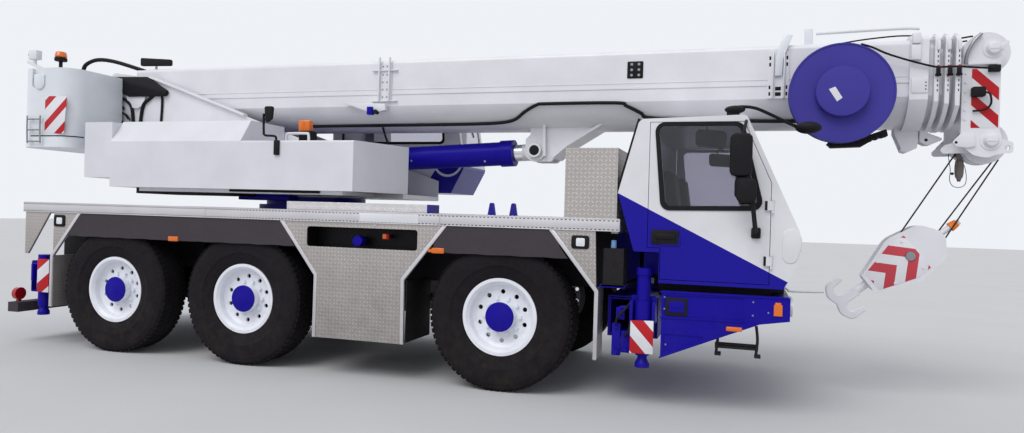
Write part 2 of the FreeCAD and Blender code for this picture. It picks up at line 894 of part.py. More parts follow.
def make_cab_interior():
    floor = cab_bottom_z + cab_wall + seat_gap
    shapes = []
    seat_x = cab_rear_x + 434
    seat_z = floor + 135
    half = cab_seat_width / 2
    cushion = [
        (seat_x, seat_z), (seat_x + 480, seat_z), (seat_x + 480, seat_z + 150, 40),
        (seat_x, seat_z + 130),
    ]
    backrest = [
        (seat_x - 20, seat_z + 50), (seat_x + 100, seat_z + 50), (seat_x - 10, seat_z + 800, 40),
        (seat_x - 120, seat_z + 800, 40),
    ]
    for y in (-cab_seat_y, cab_seat_y):
        shapes.append(fused([
            prism_y(cushion, y - half, y + half),
            prism_y(backrest, y - half, y + half),
            box(seat_x + 60, seat_x + 400, y - 160, y + 160, floor, seat_z + 10),
        ]))
    dash_x = cab_nose_x - 385
    dash_half = cab_half_width - 125
    dash = prism_y(
        [(dash_x, floor), (dash_x + 180, floor), (dash_x + 220, floor + 385),
         (dash_x + 150, floor + 445, 40), (dash_x + 20, floor + 385)], -dash_half, dash_half
    )
    wheel_axis = V(-0.45, 0, 0.89)
    wheel_x = dash_x - 50
    wheel_z = floor + 535
    y = cab_seat_y
    wheel = Part.makeTorus(215, 16, V(wheel_x, y, wheel_z), wheel_axis)
    spoke = box(wheel_x - 10, wheel_x + 10, y - 200, y + 200, wheel_z - 10, wheel_z + 5)
    column = rod(30, (wheel_x + 130, y, wheel_z - 250), (wheel_x, y, wheel_z + 5))
    return shapes + [fused([dash, column, wheel, spoke])]


def make_bumper():
    side = [
        (bumper_rear_x, 443), (2250, 780), (bumper_front_x, 819), (bumper_front_x, bumper_top_z, 20),
        (bumper_rear_x, bumper_top_z),
    ]
    outer = prism_y(side, -half_body, half_body)
    inner = box(
        bumper_rear_x - 1, bumper_front_x - bumper_wall, -half_body + bumper_wall,
        half_body - bumper_wall, 300, bumper_top_z - bumper_wall,
    )
    top_opening = box(
        bumper_rear_x - 1, bumper_front_x - 130, -half_body + bumper_wall,
        half_body - bumper_wall, bumper_top_z - bumper_wall - 1, bumper_top_z + 1,
    )
    shell = outer.cut(inner).cut(top_opening)
    # Pressed fields in the side, above and below the middle band
    x = bumper_rear_x
    z = bumper_band_z
    fields = [
        [(x + 22, z + 84, 15), (x + 672, z + 90, 15), (x + 664, z + 272, 15), (x + 22, z + 260, 15)],
        [(x + 22, z - 66, 12), (x + 395, z - 70, 12), (x + 22, z - 230, 12)],
    ]
    for field in fields:
        recess = prism_y(field, -half_body - 1, -half_body + bumper_recess)
        shell = shell.cut(recess).cut(mirrored(recess))
    # Air slots in the front wall
    for k in range(bumper_slot_count):
        z0 = bumper_top_z - 60 - k * bumper_slot_pitch
        shell = shell.cut(
            box(
                bumper_front_x - bumper_wall - 1, bumper_front_x + 1, -bumper_slot_half,
                bumper_slot_half, z0 - bumper_slot_height, z0,
            )
        )
    half = tow_lug_half_width
    lug = prism_y(
        [(tow_lug_x - 45, bumper_top_z - 5), (tow_lug_x + 40, bumper_top_z - 5),
         (tow_lug_x + 30, bumper_top_z + 60, 15), (tow_lug_x - 30, bumper_top_z + 60, 15)],
        -half, half,
    )
    hole_z = bumper_top_z + 25
    hole = rod(tow_lug_bore, (tow_lug_x, -half - 1, hole_z), (tow_lug_x, half + 1, hole_z))
    return [fused([shell, lug]).cut(hole)]


def make_fittings():
    side_y = -half_body - seat_gap
    lamps = [box(2360, 2425, side_y - 12, side_y, 860, 950)]
    lamps.append(box(2001, 2111, side_y - 10, side_y, 712, 748))
    for x in (-640, -3595):
        lamps.append(
            box(x - 50, x + 50, side_y - 10, -half_body + 1 - seat_gap, 1249, 1277)
        )
    for y in (-1100, -900):
        lamps.append(
            rod(75, (bumper_front_x + seat_gap, y, 915), (bumper_front_x + 25, y, 915))
        )
    # Round tail lamps on the light bar
    z = light_bar_top_z + seat_gap
    lamps.append(
        fused([
            rod(70, (rear_reach + 5, -1150, z + 90), (rear_reach + 60, -1150, z + 90)),
            box(rear_reach + 15, rear_reach + 50, -1170, -1130, z, z + 40),
        ])
    )
    return both(lamps)


# Superstructure
def make_upper_frame():
    t = upper_plate_thickness
    half = upper_plate_half
    turntable = rod(
        slew_ring_radius, (slew_x, 0, slew_ring_top_z + seat_gap), (slew_x, 0, upper_bottom_z + 40)
    )
    base = box(-3900, -1350, -half - 20, half + 20, upper_bottom_z, upper_deck_z)
    plate_side = [
        (-3900, upper_bottom_z), (-1350, upper_bottom_z), (-1350, 1990), (-2700, 2420),
        (-3352, 2653), (-4701, 3124), (upper_rear_x, 3210, 60), (upper_rear_x, 2300), (-4600, 1900),
    ]
    shapes = [turntable, base]
    for y in (-half - t / 2, half - t / 2):
        shapes.append(prism_y(plate_side, y, y + t))
    # Flange along each plate's upper edge
    for y in (-half - 60, half - t / 2):
        shapes.append(
            prism_y(
                [(-3352, 2653), (-4701, 3124), (-4701, 3149), (-3352, 2678)], y, y + 60 + t / 2
            )
        )
    shapes.append(
        prism_y(
            [(-3900, upper_bottom_z), (-3850, upper_bottom_z), (-4560, 1940), (upper_rear_x + 20, 2340),
             (upper_rear_x, 2300), (-4600, 1900)], -half, half
        )
    )
    shapes.append(box(-3740, -3690, -half, half, upper_bottom_z, 2300))
    shapes.append(box(upper_rear_x, upper_rear_x + 30, -half, half, 2300, 2480))
    for side in (-1, 1):
        y0 = side * (half - t / 2)
        boss_end = side * (half + 40)
        pin_end = side * (boom_half_width - 120)
        shapes.append(
            rod(
                boom_pin_radius + 60, (boom_pivot_x, y0, boom_pivot_z),
                (boom_pivot_x, boss_end, boom_pivot_z),
            )
        )
        shapes.append(
            rod(
                boom_pin_radius, (boom_pivot_x, y0, boom_pivot_z),
                (boom_pivot_x, pin_end, boom_pivot_z),
            )
        )
    ear_near = lift_eye_width / 2 + moving_gap
    ear_side = [
        (cylinder_foot_x - 260, upper_deck_z - 10), (cylinder_foot_x + 200, upper_deck_z - 10),
        (cylinder_foot_x + 100, cylinder_foot_z + 100, 60),
        (cylinder_foot_x - 100, cylinder_foot_z + 100, 60),
    ]
    for y in (-ear_near - 50, ear_near):
        shapes.append(prism_y(ear_side, y, y + 50))
    shapes.append(
        rod(
            lift_pin_radius, (cylinder_foot_x, -ear_near - 10, cylinder_foot_z),
            (cylinder_foot_x, ear_near + 10, cylinder_foot_z),
        )
    )
    # Arms that carry the operator's cab and the machinery cover
    shapes.append(
        box(
            crane_cab_rear_x + 20, crane_cab_rear_x + 520, half, crane_cab_outer_y - 60,
            upper_bottom_z + 20,
            crane_cab_bottom_z - seat_gap,
        )
    )
    shapes.append(
        box(-4200, -1700, -cover_outer_y + 120, -half, upper_bottom_z + 10, upper_deck_z)
    )
    return [fused(shapes)]


def make_cover():
    outer = cover_outer_y
    inner = cover_inner_y
    low = upper_deck_z + seat_gap
    # place across, height
    rear_section = [
        (-inner, low), (-outer, low), (-outer, cover_low_z - 6), (-outer + 170, cover_high_z),
        (-inner, cover_high_z),
    ]
    front_section = [(-inner, low), (-outer, low), (-outer, cover_low_z, 20), (-inner, cover_low_z)]
    rear_part = prism_x(rear_section, cover_rear_x, cover_step_x)
    front_part = prism_x(front_section, cover_step_x - 1, cover_front_x)
    slant = prism_z(
        [(cover_front_x + 1, -inner + 1), (cover_front_x + 1, -outer - 1),
         (cover_front_x - 230, -outer - 1)], low - 1, cover_low_z + 100
    )
    side_box = box(
        cover_rear_x - 377, cover_rear_x - seat_gap, -outer + 20, -inner - 120, low + 98,
        cover_high_z - 18,
    )
    return [fused([rear_part, front_part.cut(slant)]), side_box]


def make_counterweight():
    notch = upper_plate_half + 60
    seat_x = upper_rear_x - seat_gap
    w = counterweight_half_width
    plan = [
        (counterweight_front_x, -w, 200), (counterweight_rear_x, -w, 200),
        (counterweight_rear_x, w, 200), (counterweight_front_x, w, 200),
        (counterweight_front_x, notch), (seat_x, notch), (seat_x, -notch),
        (counterweight_front_x, -notch),
    ]
    block = prism_z(plan, counterweight_bottom_z, counterweight_top_z)
    well = box(
        winch_x - winch_radius - 30, upper_rear_x, -winch_half_width - 60, winch_half_width + 60,
        winch_z - winch_radius - 30, counterweight_top_z + 1,
    )
    pocket_x = counterweight_rear_x + 260
    pocket = prism_y(
        [(pocket_x - 60, winch_z, 40), (pocket_x + 60, winch_z, 40),
         (pocket_x + 60, counterweight_top_z + 1), (pocket_x - 60, counterweight_top_z + 1)],
        -w - 1, -w + 35,
    )
    return [block.cut(well).cut(pocket).cut(mirrored(pocket))]


def make_winch():
    w = winch_half_width
    drum = rod(winch_radius - 50, (winch_x, -w, winch_z), (winch_x, w, winch_z))
    flanges = [
        rod(winch_radius, (winch_x, y, winch_z), (winch_x, y + 25, winch_z)) for y in (-w, w - 25)
    ]
    end = w + 60 - seat_gap
    hubs = rod(70, (winch_x, -end, winch_z), (winch_x, end, winch_z))
    return [fused([drum, hubs] + flanges)]


crane_screen_top = (crane_cab_front_x - 180, crane_cab_top_z)
crane_screen_foot = (crane_cab_front_x, crane_cab_knee_z)
crane_window = [
    (crane_cab_rear_x + 150, crane_cab_knee_z + 300, 40),
    (crane_cab_front_x - 270, crane_cab_knee_z + 300, 40),
    (crane_cab_front_x - 330, crane_cab_top_z - 150, 40),
    (crane_cab_rear_x + 150, crane_cab_top_z - 150, 40),
]


def make_crane_cab():
    side = [
        (crane_cab_rear_x, crane_cab_bottom_z), (crane_cab_sill_x, crane_cab_bottom_z),
        (crane_screen_foot[0], crane_screen_foot[1], 80), (crane_screen_top[0], crane_screen_top[1], 80),
        (crane_cab_rear_x, crane_cab_top_z, 60),
    ]
    wall = crane_cab_wall
    shell = prism_y(side, crane_cab_inner_y, crane_cab_outer_y)
    inner = prism_y(inset(side, wall), crane_cab_inner_y + wall, crane_cab_outer_y + 1)
    cab = shell.cut(inner)
    screen = strip(crane_screen_top, crane_screen_foot, 120, 100, -20, wall + 30)
    cab = cab.cut(prism_y(screen, crane_cab_inner_y + 60, crane_cab_outer_y - 60))
    cab = cab.cut(prism_y(crane_window, crane_cab_inner_y - 1, crane_cab_inner_y + wall + 1))
    floor = crane_cab_bottom_z + wall + seat_gap
    x = crane_cab_rear_x + 500
    z = floor + 340
    y0 = crane_cab_inner_y + 140
    y1 = crane_cab_outer_y - 155
    seat = fused([
        prism_y([(x, z), (x + 500, z), (x + 500, z + 140, 40), (x, z + 120)], y0, y1),
        prism_y(
            [(x - 100, z + 20), (x + 10, z + 20), (x - 30, z + 760, 40), (x - 130, z + 760, 40)],
            y0, y1,
        ),
        box(x + 50, x + 450, y0 + 80, y1 - 80, floor, z + 10),
    ])
    return [cab, seat]


def make_crane_glass():
    wall = crane_cab_wall
    pane = strip(
        crane_screen_top, crane_screen_foot, 120 + seat_gap, 100 + seat_gap, 12, 12 + glass_thickness
    )
    front = prism_y(
        pane, crane_cab_inner_y + 60 + seat_gap, crane_cab_outer_y - 60 - seat_gap
    )
    side_y = crane_cab_inner_y + wall / 2
    side = prism_y(inset(crane_window, seat_gap), side_y, side_y + glass_thickness)
    return [front, side]


def make_crane_door():
    y = crane_cab_outer_y + moving_gap
    x0 = crane_cab_rear_x + 20
    x1 = crane_cab_front_x - 280
    z0 = crane_cab_bottom_z + 20
    z1 = crane_cab_top_z - 50
    panel = box(x0, x1, y, y + 30, z0, z1)
    window = prism_y(
        [(x0 + 100, z0 + 480, 50), (x1 - 100, z0 + 480, 50), (x1 - 100, z1 - 90, 50),
         (x0 + 100, z1 - 90, 50)], y - 1, y + 31
    )
    runner = box(
        x0 + 30, x0 + 580, crane_cab_outer_y + seat_gap, y + 10, crane_cab_bottom_z + 5,
        crane_cab_bottom_z + crane_cab_wall - 5,
    )
    return [fused([panel.cut(window), runner])]


# Boom
def boom_face(half, top, bottom, grow):
    # Flat top with round corners, upright sides and a rounded belly
    w = half + grow
    upper = top + grow
    lower = bottom - grow
    knee = lower + half * boom_sag
    corner = 50
    bow = corner * (1 - math.sqrt(0.5))
    edges = [
        Part.makeLine(V(0, -w, knee), V(0, -w, upper - corner)),
        Part.Arc(
            V(0, -w, upper - corner), V(0, -w + bow, upper - bow), V(0, -w + corner, upper)
        ).toShape(),
        Part.makeLine(V(0, -w + corner, upper), V(0, w - corner, upper)),
        Part.Arc(
            V(0, w - corner, upper), V(0, w - bow, upper - bow), V(0, w, upper - corner)
        ).toShape(),
        Part.makeLine(V(0, w, upper - corner), V(0, w, knee)),
        Part.Arc(V(0, w, knee), V(0, 0, lower), V(0, -w, knee)).toShape(),
    ]
    return Part.Face(Part.Wire(edges))


def boom_bar(number, x0, x1, grow):
    shrink = (number - 1) * boom_step
    face = boom_face(
        boom_half_width - shrink, boom_top_z - shrink, boom_bottom_z + shrink, grow
    )
    face.translate(V(x0, 0, 0))
    return face.extrude(V(x1 - x0, 0, 0))


def boom_shell(number, x0, x1):
    return boom_bar(number, x0, x1, 0).cut(boom_bar(number, x0 - 1, x1 + 1, -boom_wall))


def wear_pad(number, x0, x1):
    # Pad in the mouth of the section around, just under the next section's belly
    outer_bottom = boom_bottom_z + (number - 2) * boom_step
    pad = box(x0, x1, -110, 110, outer_bottom + 2, outer_bottom + 200)
    return pad.cut(boom_bar(number, x0 - 1, x1 + 1, seat_gap))


def collar(number, x0, x1, flange):
    # Reinforcing frame round a section's mouth
    outside = boom_bar(number, x0, x1, flange)
    return outside.cut(boom_bar(number, x0 - 1, x1 + 1, -boom_wall))


def make_boom_base():
    front = boom_collar_front_x
    shapes = [
        boom_shell(1, boom_rear_x, front),
        collar(1, front - boom_collar_length, front, boom_collar_flange),
        boom_bar(1, boom_rear_x, boom_rear_x + boom_wall, 0),
        wear_pad(2, front - 120, front - 10),
    ]
    bores = []
    for side in (-1, 1):
        y0 = side * (boom_half_width - boom_wall - 60)
        y1 = side * (boom_half_width - 1)
        shapes.append(rod(170, (boom_pivot_x + 90, y0, boom_pivot_z), (boom_pivot_x + 90, y1, boom_pivot_z)))
        y_in = side * (boom_half_width - boom_wall - 80)
        y_out = side * (boom_half_width + 20)
        bores.append(
            rod(
                boom_pin_radius + bearing_gap, (boom_pivot_x, y_in, boom_pivot_z),
                (boom_pivot_x, y_out, boom_pivot_z),
            )
        )
    for x0, x1, z0, z1, thickness in boom_side_plates:
        plate = box(x0, x1, -boom_half_width - thickness, -boom_half_width + 1, z0, z1)
        shapes += both([plate])
    body = fused(shapes)
    for bore in bores:
        body = body.cut(bore)
    # Bracket for the lift cylinder's rod: an ear and a stub pin on each side, a rib up each
    # ear and a slanted flange in front, clear of the rod's eye where it drifts off its pin
    near = lift_eye_width / 2 + moving_gap
    thickness = 45
    x = lift_eye_x
    z = lift_eye_z
    knee = boom_bottom_z + boom_half_width * boom_sag
    ear_side = [
        (x - 112, z - 112, 100), (x + 165, z - 112, 30),
        (x + 350, z + 45), (x + 940, z + 400), (x + 700, knee), (x - 60, knee),
        (x - 60, z + 170, 30), (x - 112, z + 120, 30),
    ]
    flange_line = [(x + 200, z - 82), (x + 350, z + 45), (x + 940, z + 400)]
    flange_side = flange_line + [(u - 12, v + 20) for u, v in reversed(flange_line)]
    inside = boom_bar(1, x - 500, x + 1200, -boom_wall / 2)
    ears = [prism_y(flange_side, -near - thickness - 60, near + thickness + 60).cut(inside)]
    for y in (-near - thickness, near):
        side = -1 if y < 0 else 1
        ears.append(prism_y(ear_side, y, y + thickness).cut(inside))
        hub_y = y - 20 if y < 0 else y
        ears.append(rod(112, (x, hub_y, z), (x, hub_y + thickness + 20, z)))
        face = y if y < 0 else y + thickness
        ears.append(
            prism_y(
                [(x - 15, knee + 20), (x + 210, knee + 20), (x + 142, knee - 75), (x + 112, knee - 210),
                 (x + 122, z - 60), (x + 98, z - 60), (x + 84, knee - 210), (x + 52, knee - 75)],
                *sorted((face, face + side * 55))
            ).cut(inside)
        )
    return [fused([body] + ears)]


def make_section(number):
    start = boom_section_start + (number - 2) * boom_section_shift
    mouth = boom_collar_front_x + collar_pitch * (number - 1)
    flange = boom_collar_flange + 0.9 * boom_step * (number - 1)
    return [fused([
        boom_shell(number, start, mouth),
        collar(number, mouth - collar_length, mouth, flange),
        wear_pad(number + 1, mouth - collar_length, mouth),
    ])]


def make_head():
    start = boom_section_start + 3 * boom_section_shift
    w = head_half_width
    t = head_plate_thickness
    shapes = [boom_shell(5, start, head_rear_x + 40)]
    low = head_lower_sheave_z
    side = [
        (head_rear_x, low + 46), (head_rear_x + 40, low - 74, 40), (head_rear_x + 103, low - 124, 60),
        (head_front_x - 51, low - 159, 120), (head_front_x + 40, low - 44, 60),
        (head_front_x, low + 106), (head_front_x, head_top_z, 90),
        (head_rear_x + 60, head_top_z - 60, 60), (head_rear_x, head_top_z - 280),
    ]
    eye_side = [
        (head_front_x - 101, head_eye_z - 74), (front_reach - head_eye_radius, head_eye_z - head_eye_radius),
        (front_reach, head_eye_z - head_eye_radius, 20), (front_reach, head_eye_z + head_eye_radius, 20),
        (head_front_x - 61, head_eye_z + 106),
    ]
    # Guide lugs on the lower sheaves' pin, outside the limit switch weight's path
    lug_side = [
        (head_rear_x - 172, low - 104, 30), (head_sheave_x - 20, low - 92), (head_sheave_x + 48, low - 40),
        (head_sheave_x + 48, low + 44), (head_sheave_x - 60, low + 58), (head_rear_x - 87, low - 24),
    ]
    for y in (-w, w - t):
        shapes.append(prism_y(side, y, y + t))
        shapes.append(prism_y(eye_side, y, y + t))
    for y in (-185, 155):
        shapes.append(prism_y(lug_side, y, y + 30))
    shapes.append(
        box(
            head_rear_x + 5, head_rear_x + 45, -w + 1, w - 1, low + sheave_radius + 5,
            head_upper_sheave_z + 30,
        )
    )
    for z in (head_lower_sheave_z, head_upper_sheave_z):
        shapes.append(rod(sheave_pin_radius, (head_sheave_x, -w, z), (head_sheave_x, w, z)))
        for y in (-sheave_pitch, 0, sheave_pitch):
            shapes.append(sheave(sheave_radius, sheave_width, (head_sheave_x, y, z)))
    eye_x = front_reach - head_eye_radius
    eyes = rod(head_eye_bore, (eye_x, -w - 1, head_eye_z), (eye_x, w + 1, head_eye_z))
    return [fused(shapes).cut(eyes)]


def make_reel():
    y = -boom_half_width - 150
    disc = rod(reel_radius, (reel_x, y - reel_width, reel_z), (reel_x, y, reel_z))
    hub = rod(
        reel_hub_radius, (reel_x, y - reel_width - 80, reel_z), (reel_x, y - reel_width + 1, reel_z)
    )
    stem = rod(90, (reel_x, y - 1, reel_z), (reel_x, -boom_half_width - seat_gap, reel_z))
    return [fused([disc, hub, stem])]


# Lift cylinder, made along X from its foot and turned to its rod's eye
lift_line = V(lift_eye_x - cylinder_foot_x, 0, lift_eye_z - cylinder_foot_z)
lift_length = lift_line.Length
lift_angle = math.degrees(math.atan2(lift_line.z, lift_line.x))


def turned(profile):
    # profile holds distances from the foot and radii
    face = outline(profile, in_xz)
    return face.revolve(V(0, 0, 0), V(1, 0, 0), 360)


def laid_on_lift_line(shape):
    shape.rotate(V(0, 0, 0), V(0, 1, 0), -lift_angle)
    shape.translate(V(cylinder_foot_x, 0, cylinder_foot_z))
    return shape


def make_lift_barrel():
    half = lift_eye_width / 2
    start = lift_barrel_start
    front = lift_barrel_front
    gland = lift_gland_length
    mouth = lift_rod_radius + bearing_gap
    body = turned([
        (0, 0), (0, 75), (start - 60, 75), (start - 60, lift_barrel_radius),
        (front - gland - 30, lift_barrel_radius), (front - gland - 30, lift_barrel_radius + 14),
        (front, lift_barrel_radius + 14), (front, mouth), (front - gland, mouth),
        (front - gland, lift_bore_radius), (start, lift_bore_radius), (start, 0),
    ])
    eye = rod(lift_eye_radius, (0, -half, 0), (0, half, 0))
    pin = rod(lift_pin_radius + bearing_gap, (0, -half - 1, 0), (0, half + 1, 0))
    return [laid_on_lift_line(body.fuse(eye).cut(pin))]


def make_lift_rod():
    half = lift_eye_width / 2
    piston_start = lift_barrel_start + 20
    piston = lift_bore_radius - bearing_gap
    body = turned([
        (piston_start, 0), (piston_start, piston), (piston_start + 100, piston),
        (piston_start + 100, lift_rod_radius), (lift_length, lift_rod_radius), (lift_length, 0),
    ])
    eye = rod(lift_eye_radius, (lift_length, -half, 0), (lift_length, half, 0))
    pin = rod(lift_pin_radius, (lift_length, -half - 1, 0), (lift_length, half + 1, 0))
    return [laid_on_lift_line(body.fuse(eye).cut(pin))]


# Hook block, drawn upright at its sheave pin and tipped as the tie to the bumper holds it
def tipped(shape):
    shape.rotate(V(block_sheave_x, 0, block_sheave_z), V(0, 1, 0), 90 - block_axis_tilt)
    return shape


def make_hook_sheaves():
    x = block_sheave_x
    z = block_sheave_z
    w = block_half_width
    shapes = [rod(block_pin_radius, (x, -w - 6, z), (x, w + 6, z))]
    for y in (-42, 42):
        shapes.append(sheave(block_sheave_radius, 40, (x, y, z)))
    return [fused(shapes)]


def make_hook_block():
    x = block_sheave_x
    z = block_sheave_z
    w = block_half_width
    side = [
        (x - 90, z - 440, 30), (x + 90, z - 440, 30), (x + 240, z - 60, 200), (x + 190, z + 230, 150),
        (x + 40, z + 330, 30), (x - 40, z + 330, 30), (x - 190, z + 230, 150), (x - 240, z - 60, 200),
    ]
    pieces = []
    for y in (-w, w - block_cheek):
        hole = rod(block_pin_radius + bearing_gap, (x, y - 1, z), (x, y + block_cheek + 1, z))
        pieces.append(prism_y(side, y, y + block_cheek).cut(hole))
    pieces.append(box(x - 80, x + 80, -w + 1, w - 1, z - 435, z - 330))
    pieces.append(box(x - 35, x + 35, -w + 1, w - 1, z + 240, z + 310))
    pieces.append(rod(28, (x, 0, z + 300), (x, 0, z + 520)))
    bore = rod(hook_shank_radius + bearing_gap, (x, 0, z - 441), (x, 0, z - 320))
    return [tipped(fused(pieces).cut(bore))]


def make_hook():
    x = block_sheave_x
    z = block_sheave_z
    shank = rod(hook_shank_radius, (x, 0, z - 560), (x, 0, z - 325))
    # Half of the double hook: distance from the shank's axis, height from the sheaves, radius
    horn = [
        (44, -545, 0), (44, -715, 44), (138, -715, 44), (148, -590, 14), (192, -594, 18),
        (202, -748, 80), (92, -802, 80),
    ]
    right = [(x + u, z + v, r) for u, v, r in horn]
    left = [(x - u, z + v, r) for u, v, r in reversed(horn)]
    half = hook_thickness / 2
    bow = prism_y(right + [(x, z - 772, 40)] + left, -half, half)
    bow = bow.makeChamfer(hook_edge, [edge for edge in bow.Edges if abs(edge.BoundBox.YLength) < 0.1])
    return [tipped(shank.fuse(bow))]


def make_limit_weight():
    # Weight on a hanger that turns on the lower sheaves' pin
    side_y = sheave_pitch + sheave_width / 2 + moving_gap
    hanger_z = weight_top_z + 60
    eye_at = (head_sheave_x, side_y, head_lower_sheave_z)
    line = V(weight_x - head_sheave_x, 0, hanger_z - head_lower_sheave_z)
    along = V(line).normalize()
    across = V(-along.z, 0, along.x) * 22
    foot = V(head_sheave_x, 0, head_lower_sheave_z)
    end = V(weight_x, 0, hanger_z)
    arm = prism_y(
        [(p.x, p.z) for p in (foot + across, end + across, end - across, foot - across)],
        side_y, side_y + 12,
    )
    arm = arm.fuse(rod(60, eye_at, (head_sheave_x, side_y + 12, head_lower_sheave_z)))
    arm = arm.cut(
        rod(
            sheave_pin_radius + bearing_gap, (head_sheave_x, side_y - 1, head_lower_sheave_z),
            (head_sheave_x, side_y + 13, head_lower_sheave_z),
        )
    )
    return [fused([
        arm,
        rod(14, (weight_x, -10, hanger_z), (weight_x, side_y + 12, hanger_z)),
        rod(10, (weight_x, 0, weight_top_z - 1), (weight_x, 0, hanger_z)),
        rod(weight_radius, (weight_x, 0, weight_bottom_z), (weight_x, 0, weight_top_z)),
    ])]


save("chassis_frame", make_frame())
save("driveline", make_driveline())
save("deck", make_deck())
save("side_panels", make_side_panels())
save("fenders", make_fenders())
save("carrier_cab", make_cab())
save("cab_glass", make_cab_glass())
save("cab_interior", make_cab_interior())
save("bumper", make_bumper())
save("fittings", make_fittings())
door = make_door()
door_glass = make_door_glass()
save("cab_door_right", door)
save("cab_door_left", [mirrored(shape) for shape in door])
save("door_glass_right", door_glass)
save("door_glass_left", [mirrored(shape) for shape in door_glass])
save("upper_frame", make_upper_frame())
save("side_cover", make_cover())
save("counterweight", make_counterweight())
save("winch", make_winch())
save("crane_cab", make_crane_cab())
save("crane_cab_glass", make_crane_glass())
save("crane_cab_door", make_crane_door())
save("lift_barrel", make_lift_barrel())
save("lift_rod", make_lift_rod())
save("boom_base", make_boom_base())
save("hose_reel", make_reel())
for number in (2, 3, 4):
    save("boom_section_" + str(number), make_section(number))
save("boom_head", make_head())
save("limit_weight", make_limit_weight())
save("hook_sheaves", make_hook_sheaves())
save("hook_block", make_hook_block())
save("hook", make_hook())
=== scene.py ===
import math
import bmesh
import bpy
from mathutils import Matrix, Vector


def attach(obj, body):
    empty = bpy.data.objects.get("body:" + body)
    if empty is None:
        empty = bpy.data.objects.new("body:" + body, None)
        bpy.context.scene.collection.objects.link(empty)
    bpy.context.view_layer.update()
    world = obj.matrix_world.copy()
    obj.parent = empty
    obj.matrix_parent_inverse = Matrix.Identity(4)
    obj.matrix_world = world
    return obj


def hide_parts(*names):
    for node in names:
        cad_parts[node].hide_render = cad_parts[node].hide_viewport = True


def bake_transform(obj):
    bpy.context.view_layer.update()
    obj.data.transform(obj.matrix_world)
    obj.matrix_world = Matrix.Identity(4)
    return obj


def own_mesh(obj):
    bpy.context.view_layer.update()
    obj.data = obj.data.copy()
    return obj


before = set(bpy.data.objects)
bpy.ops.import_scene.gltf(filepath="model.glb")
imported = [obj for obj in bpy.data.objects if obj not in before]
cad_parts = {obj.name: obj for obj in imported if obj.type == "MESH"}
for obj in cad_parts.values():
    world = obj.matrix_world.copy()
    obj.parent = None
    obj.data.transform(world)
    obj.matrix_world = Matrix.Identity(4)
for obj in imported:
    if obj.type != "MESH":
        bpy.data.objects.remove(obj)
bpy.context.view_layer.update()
print("frame loaded")

frontAxle = 0.805  # metres from the middle of the crane to its front axle
halfBody = 1275  # millimetres, as are all places below
wheelX = {"1": 0, "2": -2770, "3": -4420}
wheelY = 1057.5
wheelZ = 680
bothSides = {"right": -1, "left": 1}


def at(x, y, z):  # millimetres from the front axle, to the left and above the ground
    return Vector((x / 1000 + frontAxle, y / 1000, z / 1000))


# shapes are gathered by the body they ride on and their finish
shapes = {}


def into(body, finish):
    if (body, finish) not in shapes:
        shapes[(body, finish)] = bmesh.new()
    return shapes[(body, finish)]


def addSolid(bm, points, faces):
    verts = [bm.verts.new(p) for p in points]
    made = [bm.faces.new([verts[i] for i in face]) for face in faces]
    bmesh.ops.recalc_face_normals(bm, faces=made)
    return verts, made


def bevelled(bm, verts, width, segments=2):
    if width > 0:
        inside = set(verts)
        edges = [e for e in bm.edges if e.verts[0] in inside and e.verts[1] in inside]
        bmesh.ops.bevel(
            bm, geom=list(verts) + edges, offset=width / 1000, segments=segments,
            affect="EDGES", profile=0.5, clamp_overlap=True,
        )


def addBox(bm, x0, x1, y0, y1, z0, z1, bevel=3):
    y0, y1 = sorted((y0, y1))
    corners = [at(x, y, z) for x in (x0, x1) for y in (y0, y1) for z in (z0, z1)]
    sides = [(0, 1, 3, 2), (4, 6, 7, 5), (0, 4, 5, 1), (2, 3, 7, 6), (0, 2, 6, 4), (1, 5, 7, 3)]
    boxShape = bmesh.new()
    verts, _ = addSolid(boxShape, corners, sides)
    bevelled(boxShape, verts, bevel)
    absorb(bm, boxShape)


def absorb(bm, other):
    bmesh.ops.recalc_face_normals(other, faces=other.faces)
    holder = bpy.data.meshes.new("holder")
    other.to_mesh(holder)
    other.free()
    bm.from_mesh(holder)
    bpy.data.meshes.remove(holder)


def rounded(corners):  # corners are u, v and a radius where one is wanted
    points = []
    count = len(corners)
    for i, corner in enumerate(corners):
        here = Vector(corner[:2])
        radius = corner[2] if len(corner) > 2 else 0
        if radius == 0:
            points.append(here)
            continue
        back = (Vector(corners[i - 1][:2]) - here).normalized()
        on = (Vector(corners[(i + 1) % count][:2]) - here).normalized()
        half = back.angle(on) / 2
        centre = here + (back + on).normalized() * (radius / math.sin(half))
        start = here + back * (radius / math.tan(half)) - centre
        turn = (math.pi - 2 * half) * (1 if back.cross(on) < 0 else -1)
        steps = max(2, int(abs(turn) / 0.26))
        for k in range(steps + 1):
            a = turn * k / steps
            points.append(centre + Vector((
                start.x * math.cos(a) - start.y * math.sin(a),
                start.x * math.sin(a) + start.y * math.cos(a),
            )))
    return points


planes = {
    "xz": lambda u, v, w: at(u, w, v),
    "yz": lambda u, v, w: at(w, u, v),
    "xy": lambda u, v, w: at(u, v, w),
}


def addPlate(bm, corners, w0, w1, plane="xz", bevel=2, segments=2):
    points = rounded(corners)
    count = len(points)
    place = planes[plane]
    every = [place(p.x, p.y, w0) for p in points] + [place(p.x, p.y, w1) for p in points]
    faces = [tuple(range(count)), tuple(range(2 * count - 1, count - 1, -1))]
    faces += [(i, (i + 1) % count, (i + 1) % count + count, i + count) for i in range(count)]
    plate = bmesh.new()
    addSolid(plate, every, faces)
    if bevel > 0:
        flat = [e for e in plate.edges if e.calc_face_angle(0) > 0.6]
        bmesh.ops.bevel(
            plate, geom=flat, offset=bevel / 1000, segments=segments, affect="EDGES",
            profile=0.5, clamp_overlap=True,
        )
    absorb(bm, plate)


